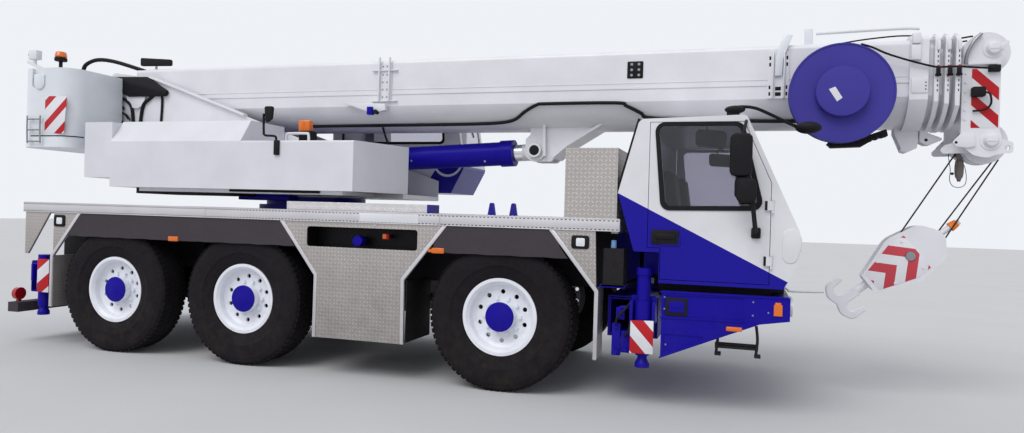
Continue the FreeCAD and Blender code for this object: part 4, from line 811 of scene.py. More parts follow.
def makeFlaps():
    # soft rubber over each wheel
    for number, x in wheelX.items():
        for side, sign in bothSides.items():
            shape = bmesh.new()
            low, high = flap["lowHalf"], flap["highHalf"]
            back = flap["rearHalf"] if number == "3" else low
            corners = [(x - back, flap["bottomZ"])]
            for k in range(1, 12):
                u = x - back + (low + back) * k / 12
                corners.append((u, flap["bottomZ"] + 3 * math.sin(k * 2.1)))
            corners += [(x + low, flap["bottomZ"]), (x + high, flap["topZ"]), (x - high, flap["topZ"])]
            addPlate(shape, corners, sign * 1268, sign * 1273.5, bevel=1)
            mesh = bpy.data.meshes.new("flap_" + number + "_" + side)
            shape.to_mesh(mesh)
            shape.free()
            mesh.materials.append(finishes["darkApron"])
            piece = bpy.data.objects.new("flap_" + number + "_" + side, mesh)
            bpy.context.scene.collection.objects.link(piece)
            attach(piece, "carrier")
            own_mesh(piece)


makeDeckEdge()
makeSkirts()
makeCarrierInside()
makeFlaps()
print("deck and skirts made")

# the driver's cab outside
grille = {"lowZ": 1190, "highZ": 1400, "pitch": 34, "slat": 18, "x": 2470, "lean": 0.30, "halfY": 620}
wiper = {"feet": (-700, 150), "arm": 8, "blade": 6}


def makeCabTrim():
    black = into("carrier", "blackPlastic")
    for name, side in bothSides.items():
        door = into("door_" + name, "blackPlastic")
        y = side * halfBody
        # window gasket
        outer = [(1432, 1690, 80), (2270, 1706, 80), (2086, 2436, 80), (1364, 2436, 80)]
        inner = [(1474, 1729, 50), (2219, 1746, 50), (2054, 2400, 50), (1401, 2400, 50)]
        addFrame(door, outer, inner, y - side * 4, y + side * 8)
        # recessed handle
        addPlate(door, [(1361, 1406, 14), (1590, 1406, 14), (1590, 1524, 14), (1361, 1524, 14)],
                 y - side * 3, y + side * 16, bevel=4)
        grip = into("door_" + name, "blackPaint")
        addPlate(grip, [(1392, 1452, 14), (1566, 1446, 14), (1560, 1492, 14), (1450, 1500, 14),
                        (1392, 1488, 14)], y + side * 15, y + side * 25, bevel=5)
        addRod(grip, (1404, y + side * 15, 1428), (1404, y + side * 20, 1428), 12, segments=16)
        # rubber along the cab's rear edge and the raised corner of its nose
        addStrip(black, [(1069, 1838), (1239, 2468)], 20, y - side * 95, y - side * 1)
        nose = [(2408, 1330, 60), (2500, 1225, 60), (2556, 1420, 60), (2560, 1500, 60), (2500, 1572, 40),
                (2412, 1560, 60)]
        addPlate(into("carrier", "cabPaint"), nose, y - side * 40, y + side * 7, bevel=7, segments=3)
        # lamp and sun visor inside the door window's upper corner
        addPlate(door,
                 [(1700, 2240, 40), (1950, 2225, 40), (1953, 2370, 40), (1692, 2388, 40)],
                 y - side * 110, y - side * 80, bevel=10)
        addPipe(door, [(1790, y - side * 90, 2380), (1800, y - side * 60, 2440),
                       (1858, y - side * 40, 2420)], 9)
    # front face: grille slats and wipers
    for z in range(grille["lowZ"], grille["highZ"], grille["pitch"]):
        x = grille["x"] + (z - grille["lowZ"]) * grille["lean"]
        addBox(black, x, x + 30, -grille["halfY"], grille["halfY"], z, z + grille["slat"], bevel=3)
    for y0 in wiper["feet"]:
        addPipe(black, [(2556, y0, 1560), (2520, y0 + 150, 1640), (2480, y0 + 420, 1740)], wiper["arm"])
        addPipe(black, [(2440, y0 + 130, 1830), (2478, y0 + 420, 1745), (2515, y0 + 700, 1660)],
                wiper["blade"])


def addFrame(bm, outer, inner, y0, y1):
    # a flat frame between two outlines with the same corners
    a, b = rounded(outer), rounded(inner)
    count = min(len(a), len(b))
    a, b = a[:count], b[:count]
    points = []
    for y in (y0, y1):
        points += [at(p.x, y, p.y) for p in a] + [at(p.x, y, p.y) for p in b]
    faces = []
    for i in range(count):
        j = (i + 1) % count
        n = 2 * count
        faces += [(i, j, count + j, count + i), (n + i, n + count + i, n + count + j, n + j),
                  (i, n + i, n + j, j), (count + i, count + j, n + count + j, n + count + i)]
    ringShape = bmesh.new()
    addSolid(ringShape, points, faces)
    absorb(bm, ringShape)


def makeMirrors():
    for name, side in bothSides.items():
        door = into("door_" + name, "blackPlastic")
        y = side * 1490
        for x0, x1, z0, z1 in ((1988, 2160, 1975, 2314), (2045, 2197, 1766, 1958)):
            addPlate(door, [(x0, z0, 45), (x1, z0, 45), (x1, z1, 45), (x0, z1, 45)],
                     y - 45, y + 45, bevel=18, segments=3)
        addPipe(door, [(2205, side * 1280, 1530), (2203, side * 1400, 1560), (2190, side * 1480, 1650),
                       (2175, side * 1490, 1780)], 13)
        addPipe(door, [(2105, side * 1280, 2440), (2100, side * 1400, 2400), (2090, side * 1485, 2330),
                       (2075, side * 1490, 2290)], 13)
        addPlate(door, [(2167, 1480, 15), (2242, 1480, 15), (2242, 1570, 15), (2167, 1570, 15)],
                 side * 1275, side * 1310, bevel=8)
    # long arm with two heads over the windscreen, on the right
    trim = into("carrier", "blackPlastic")
    addPipe(trim, [(1950, -1150, 2560), (2060, -1150, 2575), (2178, -1140, 2562), (2330, -1080, 2500),
                   (2500, -1010, 2425), (2560, -1000, 2415)], 14)
    ball(trim, (2010, -1150, 2552), (85, 60, 34))
    ball(trim, (2600, -1000, 2414), (105, 90, 52))
    addBox(trim, 1945, 2050, -1180, -1120, 2490, 2545, bevel=8)


def ball(bm, centre, sizes, rows=10, segments=20):
    # a closed rounded body from rings of points
    points = [at(centre[0], centre[1], centre[2] - sizes[2])]
    for i in range(1, rows):
        a = -math.pi / 2 + math.pi * i / rows
        for k in range(segments):
            b = 2 * math.pi * k / segments
            points.append(at(centre[0] + sizes[0] * math.cos(a) * math.cos(b),
                             centre[1] + sizes[1] * math.cos(a) * math.sin(b),
                             centre[2] + sizes[2] * math.sin(a)))
    points.append(at(centre[0], centre[1], centre[2] + sizes[2]))
    last = len(points) - 1
    faces = [(0, 1 + (k + 1) % segments, 1 + k) for k in range(segments)]
    for i in range(rows - 2):
        low = 1 + i * segments
        for k in range(segments):
            faces.append((low + k, low + (k + 1) % segments, low + segments + (k + 1) % segments,
                          low + segments + k))
    low = 1 + (rows - 2) * segments
    faces += [(low + k, low + (k + 1) % segments, last) for k in range(segments)]
    addSolid(bm, points, faces)


makeCabTrim()
makeMirrors()
print("cab made")

# bumper, jacks and plates in front
step = {"arms": (1915, 2230), "rearX": 1905, "frontX": 2250, "treads": ((560, 582, 4), (590, 600, 3))}
bumperBolts = ((1488, 860), (1488, 960), (1506, 560), (2200, 960), (2200, 850), (2320, 880))
bumperLines = ([(1449, 1003), (2482, 1003)], [(1449, 787), (2146, 793)], [(1453, 447), (2252, 786)])


def makeBumperTrim():
    blue = into("carrier", "bluePaint")
    dark = into("carrier", "blackPaint")
    amber = into("carrier", "amberLens")
    for side in bothSides.values():
        y = side * halfBody
        # pocket, flanges and bolts
        addPlate(dark, [(1497, 806, 14), (1678, 806, 14), (1678, 958, 14), (1497, 958, 14)],
                 y - side * 8, y - side * 2, bevel=2)
        addPlate(blue, [(1526, 836, 8), (1652, 836, 8), (1652, 930, 8), (1526, 930, 8)],
                 y - side * 3, y + side * 2, bevel=2)
        for z in (843, 880):
            addBox(blue, 1530, 1650, y - side * 3, y + side * 5, z, z + 9, bevel=2)
        for a, b in bumperLines:
            addPlate(blue, [(a[0], a[1] - 6), (b[0], b[1] - 6), (b[0], b[1] + 6), (a[0], a[1] + 6)],
                     y - side * 2, y + side * 7, bevel=2)
        for x, z in bumperBolts:
            addRod(into("carrier", "steel"), (x, y - side * 9, z), (x, y + side * 3, z), 8, segments=10)
        addBox(amber, 2368, 2416, y - side * 2, y + side * 12, 862, 968, bevel=8)
        addBox(amber, 1992, 2120, y - side * 2, y + side * 14, 712, 748, bevel=12)
        # folding step
        for x in step["arms"]:
            addPipe(dark, [(x, side * 1225, 760), (x + 12, side * 1228, 640), (x, side * 1230, 505)], 12)
            addBox(dark, x - 10, x + 40, side * 1150, side * 1245, 498, 520, bevel=5)
        for z0, z1, bevel in step["treads"]:
            addBox(dark, step["rearX"], step["frontX"], side * 1160, side * 1240, z0, z1, bevel=bevel)


def makeJackTrim():
    for name, side in bothSides.items():
        shift = 0 if side < 0 else -215
        for end, x, top in (("front", 1300, 1190), ("rear", -5460, 1015)):
            body = "beam_" + end + "_" + name
            jackX = x + shift
            if end == "front":
                corners = [(jackX - 98, 462, 6), (jackX + 100, 466, 6), (jackX + 101, 750, 6),
                           (jackX - 95, 744, 6)]
            else:
                corners = [(jackX + 2, 600, 6), (jackX + 170, 600, 6), (jackX + 170, 972, 6),
                           (jackX + 2, 972, 6)]
            addPlate(into(body, end + "Stripes"), corners, side * 1262, side * 1270, bevel=2)
            blue = into(body, "bluePaint")
            for dx in (-95, 95):
                addBox(blue, jackX + dx - 14, jackX + dx + 14, side * 1110, side * 1255, 720, 910,
                       bevel=5)
            if end == "front":
                # lock valves, pipes and hoses beside the jack
                for x0, z0, z1 in ((1036, 421, 702), (1118, 450, 640), (1069, 735, 842)):
                    addBox(blue, x0 + shift, x0 + shift + 76, side * 1150, side * 1215, z0, z1, bevel=8)
                    for z in (z0 + 30, z1 - 30):
                        addRod(blue, (x0 + shift + 38, side * 1210, z), (x0 + shift + 38, side * 1232, z),
                               20, segments=14)
                addPipe(blue, [(1100 + shift, side * 1200, 838), (1180 + shift, side * 1205, 845),
                               (1205 + shift, side * 1180, 838)], 17)
                black = into(body, "blackPlastic")
                addPipe(black, [(1075 + shift, side * 1235, 690), (1090 + shift, side * 1262, 760),
                                (1150 + shift, side * 1240, 830), (1200 + shift, side * 1190, 900)], 11)
                addPipe(black, [(1150 + shift, side * 1235, 600), (1190 + shift, side * 1258, 650),
                                (1200 + shift, side * 1230, 760), (1215 + shift, side * 1190, 880)], 11)
            addRod(blue, (jackX, side * 1175, top - 60), (jackX, side * 1175, top - 38), 69)


makeFinish("frontStripes", slantedStripes(1.10, 1, 0.466, 0.258), 0.35, coat=0.2, grime=0.2, shine=0.2)
makeFinish("rearStripes", slantedStripes(-0.75, 1, 0.1825, 0.296), 0.35, coat=0.2, grime=0.2, shine=0.2)
makeBumperTrim()
makeJackTrim()
print("bumper and jacks made")

# superstructure
def makeUpperTrim():
    black = into("upper", "blackPlastic")
    white = into("upper", "whitePaint")
    # bent arm with a mirror on the cover, lamp and rail
    addPipe(black, [(-2383, -1262, 2285), (-2399, -1262, 2335), (-2517, -1262, 2348),
                    (-2533, -1262, 2399), (-2538, -1262, 2563)], 12)
    addBox(black, -2406, -2349, -1275, -1235, 2148, 2295, bevel=6)
    addPlate(black, [(-2526, 2638, 20), (-2423, 2636, 20), (-2434, 2511, 20), (-2506, 2461, 20)],
             -1280, -1244, bevel=10)
    addBox(into("upper", "amberLens"), -2350, -2215, -940, -860, 2420, 2540, bevel=14)
    addBox(black, -2330, -2180, -960, -840, 2290, 2425, bevel=12)
    addPipe(white, [(-2450, -1000, 2296), (-2440, -1000, 2380), (-2400, -1000, 2392),
                    (-2220, -1000, 2392), (-2185, -1000, 2380), (-2178, -1000, 2296)], 14)
    # hoses behind the winch
    thick = [(-5886, -350, 3120), (-5870, -350, 3300), (-5790, -350, 3370), (-5626, -350, 3401),
             (-5365, -350, 3365), (-4978, -350, 3257), (-4726, -350, 3180)]
    addPipe(black, thick, 24)
    for dx, dz in ((0, 0), (60, -40), (120, -20)):
        addPipe(black, [(-5592 + dx, -470, 3180 + dz), (-5610 + dx, -480, 3020), (-5560 + dx, -475, 2890),
                       (-5420 + dx, -470, 2840)], 14)
    addPipe(black, [(-5150, -480, 2900), (-5050, -485, 2860), (-4970, -485, 2780), (-4937, -480, 2560)],
            20)
    addPipe(black, [(-4600, -480, 2950), (-4700, -485, 2880), (-4800, -485, 2790), (-4840, -480, 2560)],
            20)
    addPipe(black, [(-4560, -480, 2990), (-4520, -485, 2860), (-4535, -480, 2560)], 14)
    for x0, z0, x1, z1, dip in (
        (-5290, 3120, -5080, 2760, 60), (-5330, 3060, -5150, 2700, 90), (-5230, 2980, -5020, 2640, 40),
        (-5260, 2850, -5090, 2600, 120), (-5120, 2890, -4990, 2620, 30), (-5180, 2760, -5040, 2560, 70),
    ):
        addPipe(black, [(x0, -482, z0), (x0 - dip, -500, (z0 + z1) / 2), (x1 - dip, -505, z1 + 60),
                        (x1, -482, z1)], 11, segments=8)
    # black boxes as painted shade in the space below the cover, and the machinery in it
    addBox(black, -4250, -3010, -1120, -500, 1736, 1799, bevel=4)
    addBox(black, -3010, -1950, -1160, -500, 1775, 1799, bevel=4)
    addBox(into("upper", "bluePaint"), -3230, -2590, -720, -500, 1700, 1764, bevel=5)
    guard = [(-5314, 3151, 20), (-4726, 3135, 20), (-4428, 2960, 20), (-4450, 2902, 20),
             (-4990, 2903, 20), (-5168, 2976, 20)]
    addPlate(into("upper", "blackPaint"), guard, -520, -475, bevel=10)
    # mirror over the winch
    addPlate(black, [(-5011, 3410, 20), (-4556, 3374, 20), (-4553, 3298, 20), (-5008, 3310, 20)],
             -330, -290, bevel=8)
    addPipe(into("upper", "steel"), [(-4780, -310, 3300), (-4790, -310, 3200)], 14)


def makeCounterweightTrim():
    white = into("upper", "whitePaint")
    steel = into("upper", "steel")
    red = into("upper", "weightStripes")
    for side in bothSides.values():
        y = side * 1250
        addPlate(red, [(-5430, 2385, 20), (-5150, 2377, 20), (-5117, 2792, 20), (-5430, 2802, 20)],
                 y - side * 2, y + side * 3, bevel=1)
        # pocket, seam near the foot and a small ladder
        addPlate(into("upper", "greyPaint"),
                 [(-5590, 2880, 70), (-5440, 2880, 70), (-5440, 3050, 20), (-5590, 3050, 20)],
                 y - side * 2, y + side * 16, bevel=6)
        seam = [(-5630, y, 2355), (-5283, y, 2355)]
        for k in range(1, 7):
            a = math.pi / 2 * k / 6
            seam.append((-5283 + 200 * math.sin(a), side * (1050 + 200 * math.cos(a)), 2355))
        addPipe(into("upper", "blackPlastic"), seam, 6, segments=8, steps=3)
        for x in (-5655, -5465):
            addPipe(steel, [(x, y + side * 30, 2580), (x + 4, y + side * 34, 2420),
                            (x + 10, y + side * 30, 2270)], 8)
        for z in (2290, 2420, 2540):
            addPipe(steel, [(-5655, y + side * 31, z), (-5560, y + side * 34, z),
                            (-5463, y + side * 31, z)], 8)
            addPipe(steel, [(-5600, y + side * 31, z), (-5600, y - side * 2, z)], 6)
    # camera arm and beacons
    addPlate(white, [(-6111, 3262), (-5757, 3112), (-5735, 3142), (-6111, 3296)], -930, -880, bevel=4)
    addBox(white, -6075, -5948, -945, -865, 3300, 3410, bevel=8)
    addRod(white, (-6015, -905, 3250), (-6015, -905, 3310), 22)
    addRod(into("upper", "blackPlastic"), (-6076, -905, 3360), (-6100, -905, 3360), 22)
    addRod(into("upper", "blackPlastic"), (-5620, -900, 3115), (-5620, -900, 3290), 20)
    addRod(into("upper", "blackPlastic"), (-5620, -900, 3270), (-5620, -900, 3310), 68, bevel=6)
    addRod(into("upper", "amberLens"), (-5620, -900, 3310), (-5620, -900, 3378), 66, 60, bevel=12)
    addRod(into("upper", "amberLens"), (-5620, 900, 3200), (-5620, 900, 3290), 60, 54, bevel=12)
    addRod(into("upper", "blackPlastic"), (-5620, 900, 3115), (-5620, 900, 3205), 62, bevel=6)


def makeCylinderTrim():
    # hose fittings near the barrel's foot and bands round it
    pale = into("lift_barrel", "paleBlue")
    black = into("lift_barrel", "blackPlastic")
    steel = into("lift_barrel", "steel")
    addBox(into("lift_barrel", "bluePaint"), -1760, -1490, -120, -60, 2085, 2290, bevel=12)
    addRod(pale, (-1700, -120, 2280), (-1610, -160, 2240), 26)
    addRod(pale, (-1690, -110, 2150), (-1600, -160, 2130), 26)
    addPipe(black, [(-1600, -162, 2235), (-1540, -190, 2190), (-1500, -190, 2100), (-1530, -180, 2030),
                    (-1600, -160, 2040)], 13)
    addPipe(black, [(-1795, -150, 2611), (-1737, -200, 2494), (-1690, -200, 2378), (-1660, -165, 2300)],
            12)
    for x in (-1420, -560):
        addRod(steel, (x, -144, 2180), (x, -152, 2180), 12, segments=10)


craneWindow = {"rearX": -2650, "frontX": -1320, "lowZ": 2450, "highZ": 3100}


def makeCraneCabTrim():
    # gasket round the far cab's windows, its wiper, rail and lamps
    black = into("upper", "blackPlastic")
    x0, x1, z0, z1 = (craneWindow[k] for k in ("rearX", "frontX", "lowZ", "highZ"))
    outer = [(x0 - 22, z0 - 22, 55), (x1 + 22, z0 - 22, 55), (x1 - 36, z1 + 22, 55),
             (x0 - 22, z1 + 22, 55)]
    inner = [(x0 + 8, z0 + 8, 35), (x1 - 8, z0 + 8, 35), (x1 - 64, z1 - 8, 35), (x0 + 8, z1 - 8, 35)]
    addFrame(black, outer, inner, 494, 502)
    door = into("crane_door", "blackPlastic")
    outer = [(-2702, 2328, 70), (-1408, 2328, 70), (-1408, 3132, 70), (-2702, 3132, 70)]
    inner = [(-2680, 2350, 50), (-1430, 2350, 50), (-1430, 3110, 50), (-2680, 3110, 50)]
    addFrame(door, outer, inner, 1288, 1296)
    addBox(door, -1470, -1380, 1288, 1310, 2180, 2260, bevel=6)
    addPipe(black, [(-1228, 640, 3190), (-1190, 760, 2990), (-1125, 1000, 2560)], 9)
    for y in (620, 1120):
        addBox(black, -1330, -1230, y, y + 110, 3255, 3330, bevel=12)
        addBox(into("upper", "whiteLens"), -1234, -1222, y + 12, y + 98, 3268, 3318, bevel=5)
    for y in (560, 1200):
        addPipe(into("upper", "steel"), [(-2700, y, 3252), (-2690, y, 3300), (-1500, y, 3300),
                                         (-1490, y, 3252)], 11)


makeFinish("weightStripes", slantedStripes(-0.89, 1, 0.1945, 0.246, 0.2),
           0.35, coat=0.2, grime=0.0, shine=0.2)
makeUpperTrim()
makeCounterweightTrim()
makeCylinderTrim()
makeCraneCabTrim()
print("superstructure made")

# boom
boomHose = [
    (-2790, -241, 2560), (-2398, -241, 2560), (-1524, -246, 2563), (-650, -251, 2567), (-319, -269, 2579),
    (-176, -304, 2609), (-69, -360, 2672), (67, -403, 2734), (177, -406, 2745), (876, -405, 2742),
    (977, -390, 2713), (1112, -344, 2648), (1197, -302, 2604), (1673, -276, 2583), (2196, -257, 2568),
    (2542, -252, 2565),
]


def makeBoomTrim():
    black = into("boom_base", "blackPlastic")
    white = into("boom_base", "whitePaint")
    steel = into("boom_base", "steel")
    addPipe(black, boomHose, 17, segments=12)
    # long seams along the sides
    for side in bothSides.values():
        y = side * 390
        addPlate(white, [(-4190, 2930), (3440, 2928), (3440, 2936), (-4190, 2938)],
                 y - side * 3, y + side * 4, bevel=2)
        # front bracket plate and arm
        for z in (2800, 2860, 3070, 3130):
            for x in (2296, 2444):
                addBox(into("boom_base", "blackPaint"),
                       x - 8, x + 8, y + side * 10, y + side * 14, z - 17, z + 17, bevel=2)
        for x in (2322, 2418):
            addBox(white, x - 6, x + 6, y + side * 10, y + side * 42, 2757, 3193, bevel=3)
        for z in (2780, 2830):
            addBox(into("boom_base", "blackPaint"),
                   2345, 2395, y + side * 11, y + side * 15, z, z + 34, bevel=3)
        # middle bracket
        for x in (-1700, -1580):
            addBox(white, x - 7, x + 7, y + side * 10, y + side * 46, 2800, 3276, bevel=3)
        for z in (2806, 3136):
            addBox(white, -1790, -1490, y - side * 1, y + side * 30, z - 6, z + 6, bevel=3)
        for z in (2850, 2930, 3010, 3090, 3180):
            for x in (-1665, -1615):
                addRod(steel, (x, y + side * 10, z), (x, y + side * 17, z), 9, segments=10)
        # end of the lift cylinder's pin
        eye = [(0, 0), (0, 52), (3, 52), (4, 48), (4, 0)]
        addLathe(into("boom_base", "blackPaint"), eye, (2, side * 211, 2295), side, 48)
        rim = [(0, 52), (0, 74), (7, 72), (8, 54)]
        addLathe(white, rim, (2, side * 208, 2295), side, 48)
    arm = into("boom_base", "greyPaint")
    addPlate(arm, [(2340, 2961), (2400, 2961), (2409, 3120), (2485, 3331), (2405, 3338), (2340, 3130)],
             -430, -402, bevel=4)
    addPlate(arm, [(2601, 3258), (2674, 3255), (2669, 3428), (2596, 3432)], -220, -180, bevel=4)
    addPipe(white, [(2700, -200, 3385), (3380, -200, 3400), (3560, -200, 3392)], 15)
    # bracket that catches the folding support, with its blue valve
    addPlate(white, [(-2112, 2787), (-1602, 2768), (-1590, 2700), (-1716, 2674), (-1781, 2675)],
             -470, -405, bevel=5)
    addBox(into("boom_base", "bluePaint"), -1800, -1735, -500, -440, 2650, 2735, bevel=6)
    addRod(black, (-1700, -500, 2680), (-1700, -440, 2680), 24)
    # recess with round lamps on the side
    lampBox = into("boom_base", "blackPaint")
    addPlate(lampBox, [(977, 2979, 10), (1131, 2979, 10), (1131, 3144, 10), (977, 3144, 10)],
             -398, -386, bevel=3)
    for x in (1020, 1090):
        for z in (3010, 3062, 3115):
            addRod(into("boom_base", "steel"), (x, -401, z), (x, -396, z), 14, segments=14)


reelEdge = {"x": 2885, "z": 2760, "radius": 428, "backY": -540, "depth": 110}


def makeReelTrim():
    x, z, back = reelEdge["x"], reelEdge["z"], reelEdge["backY"]
    front = back - reelEdge["depth"]
    paint = into("boom_base", "reelPaint")
    r = reelEdge["radius"]
    rim = [(0, r - 10), (0, r + 3), (8, r + 5), (12, r + 1), (12, r - 10)]
    for y in (back, front):
        addLathe(paint, rim, (x, y - 6, z), 1, 96)
    hub = [(0, 0), (0, 218), (70, 218), (84, 212), (86, 200), (86, 0)]
    addLathe(paint, hub, (x, front, z), -1, 96)
    white = into("boom_base", "whitePaint")
    addPlate(white, [(2773, 2776), (2824, 2797), (2883, 2701), (2841, 2669)],
             front - 86, front - 89, bevel=0)
    # brush that guides the hose below the reel
    black = into("boom_base", "blackPlastic")
    addPlate(black, [(2789, 2340, 8), (2832, 2300, 8), (3081, 2310, 8), (3190, 2380, 8), (3290, 2400, 8),
                     (3275, 2463, 8), (3133, 2410, 8), (2969, 2375, 8)], -470, -340, bevel=6)
    for k in range(9):
        ball(black, (2850 + k * 48, -420, 2325 + max(0, k - 3) * 16), (34, 60, 24), rows=6, segments=10)
    # frame, bolts and feet of the base section's collar
    for side in bothSides.values():
        y = side * 422
        addPlate(white, [(3466, 2780, 6), (3596, 2780, 6), (3596, 2908, 6), (3466, 2908, 6)],
                 y - side * 2, y + side * 8)
        addBox(white, 3458, 3534, y - side * 6, y + side * 24, 3066, 3200, bevel=6)
        addBox(white, 3462, 3530, y - side * 20, y + side * 34, 3206, 3300, bevel=8)
        for z in (2810, 2840, 2870):
            addRod(into("boom_base", "blackPaint"), (3580, y + side * 7, z), (3580, y + side * 11, z),
                   6, segments=10)
    # lug under the base section's collar
    lug = [(3506, 2560), (3402, 2520), (3402, 2464), (3444, 2365, 20), (3470, 2300, 12), (3508, 2290, 16),
           (3592, 2330, 20), (3598, 2400), (3598, 2560)]
    for y in (-80, 62):
        addPlate(white, lug, y, y + 18, bevel=3)
    addRod(white, (3484, -64, 2322), (3484, 64, 2322), 16)
    # cable from the reel to the head
    for points, radius in (
        ([(2900, -300, 3262), (3100, -300, 3290), (3371, -300, 3310), (3560, -300, 3300)], 7),
        ([(3036, -595, 3186), (3133, -560, 3160), (3256, -500, 3115), (3429, -462, 3060),
          (3588, -450, 3012)], 9),
    ):
        addPipe(black, points, radius)


makeBoomTrim()
makeReelTrim()
print("boom made")


# hook block and ropes
block = {"lean": math.radians(39), "pinX": 3560, "pinZ": 1345}


def hookChevron(tree, place):
    # chevrons that point along the block, in the plane of its cheeks
    x, y, z = xyz(tree, place)
    angle = block["lean"]
    cx, cz = at(block["pinX"], 0, 0).x, block["pinZ"] / 1000
    along = maths(tree, "ADD", maths(tree, "MULTIPLY", maths(tree, "SUBTRACT", x, cx), math.cos(angle)),
                  maths(tree, "MULTIPLY", maths(tree, "SUBTRACT", z, cz), math.sin(angle)))
    aside = maths(tree, "SUBTRACT", maths(tree, "MULTIPLY", maths(tree, "SUBTRACT", z, cz),
                                          math.cos(angle)), maths(tree, "MULTIPLY",
                                                  maths(tree, "SUBTRACT", x, cx), math.sin(angle)))
    point = maths(tree, "ADD", along, maths(tree, "ABSOLUTE", aside))
    phase = maths(tree, "FRACT", maths(tree, "DIVIDE", maths(tree, "ADD", point, 9.92), 0.24))
    red = ramped(tree, maths(tree, "ABSOLUTE", maths(tree, "SUBTRACT", phase, 0.5)), 0.247, 0.253)
    return mixed(tree, red, tone(196, 66, 78), tones["white"])


makeFinish("hookChevron", hookChevron, 0.36, coat=0.2, grime=0.2, shine=0.2)


def tilted(u, v):
    # places on the block: u across, v along from its pin towards the ropes
    angle = block["lean"]
    return (block["pinX"] + v * math.cos(angle) - u * math.sin(angle),
            block["pinZ"] + v * math.sin(angle) + u * math.cos(angle))


def makeStretched(name, lines, radius, finish):
    # ropes and cables made as one plain mesh that rides on no body
    shape = bmesh.new()
    for line in lines:
        addPipe(shape, line, radius, steps=8)
    mesh = bpy.data.meshes.new(name)
    shape.to_mesh(mesh)
    shape.free()
    mesh.materials.append(finishes[finish])
    for face in mesh.polygons:
        face.use_smooth = True
    piece = bpy.data.objects.new(name, mesh)
    bpy.context.scene.collection.objects.link(piece)
    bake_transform(piece)


def makeHookTrim():
    sticker = into("hook_block", "hookChevron")
    for side in (-1, 1):
        corners = [tilted(*p) for p in ((-95, -400), (95, -400), (195, -60), (180, 70), (-180, 70),
                                        (-195, -60))]
        addPlate(sticker, corners, side * 109, side * 113, bevel=1)
    cap = into("hook_block", "orangePlastic")
    a, b = tilted(0, 500), tilted(0, 430)
    addRod(cap, (a[0], 0, a[1]), (b[0], 0, b[1]), 34, 44)
    for side in (-1, 1):
        x, z = block["pinX"], block["pinZ"]
        addRod(into("hook_block", "steel"), (x, side * 112, z), (x, side * 126, z), 46, 42)
        for u, v in ((-120, -250), (120, -250), (-150, 20), (150, 20)):
            x, z = tilted(u, v)
            addRod(into("hook_block", "whitePaint"), (x, side * 108, z), (x, side * 120, z),
                   13, segments=12)
    falls = (
        [(3933, -42, 2319), (3709, -42, 1936), (3485, -38, 1553)],
        [(3953, 42, 2327), (3726, 42, 1940), (3498, 38, 1552)],
        [(4251, -42, 2232), (4024, -42, 1826), (3797, -38, 1419)],
        [(4229, 42, 2227), (4041, 42, 1936), (3852, 38, 1642), (3740, 30, 1468)],
    )
    makeStretched("fall_ropes", falls, 7, "ropeSteel")
    strap = into("carrier", "aluminium")
    addPipe(strap, [(2437, 0, 1040), (2520, 0, 975), (2565, 0, 955), (2850, 0, 965)], 9)


makeHookTrim()


def makeWeight():
    # switch weight with its hanger strap, stem, body that narrows downwards, cap and chain loop
    body = into("falls", "weightBody")
    plate = [(4096, 2352, 10), (4140, 2352, 10), (3978, 2256, 10), (3930, 2256, 10), (3930, 2330, 10)]
    addPlate(body, plate, 64, 74, bevel=2)
    addRod(body, (3955, -12, 2290), (3955, 74, 2290), 14, segments=20)
    addPlate(body, [(3929, 2232, 12), (3981, 2232, 12), (3984, 2322, 24), (3926, 2322, 24)],
             -14, 14, bevel=4)
    profile = ((2234, 26, 34), (2214, 34, 38), (2160, 38, 37), (2110, 37, 31), (2076, 31, 20),
               (2056, 20, 15))
    lows = [row[0] for row in profile[1:]] + [2041]
    for (top, high, low), bottom in zip(profile, lows):
        addRod(body, (3955, 0, top), (3955, 0, bottom), high, low, segments=32, bevel=1.5)
    cap = into("falls", "blackPaint")
    addRod(cap, (3955, 0, 2060), (3955, 0, 2034), 17, 14, segments=24)
    ball(cap, (3896, -20, 2104), (15, 13, 13), rows=6, segments=12)
    addPipe(into("falls", "ropeSteel"), [(3861, -20, 2310), (3864, -20, 2240), (3880, -20, 2137),
                                         (3876, -20, 2050), (3900, -20, 1995), (3949, -20, 1980), (3995,
                                                 -20, 2000), (4010, -20, 2060), (3996, -20, 2160), (3960,
                                                         -16, 2240)], 3, segments=6)


makeFinish("weightBody", tone(124, 116, 112), 0.5, grime=0.0)
makeWeight()

makeFinish("headStripes", slantedStripes(0.96, 1, 0.1842, 0.238, 0.233),
           0.36, coat=0.2, grime=0.0, shine=0.2)


# places of the sections' mouths
collarEdge = {"boom_section_2": 3682, "boom_section_3": 3764, "boom_section_4": 3846}


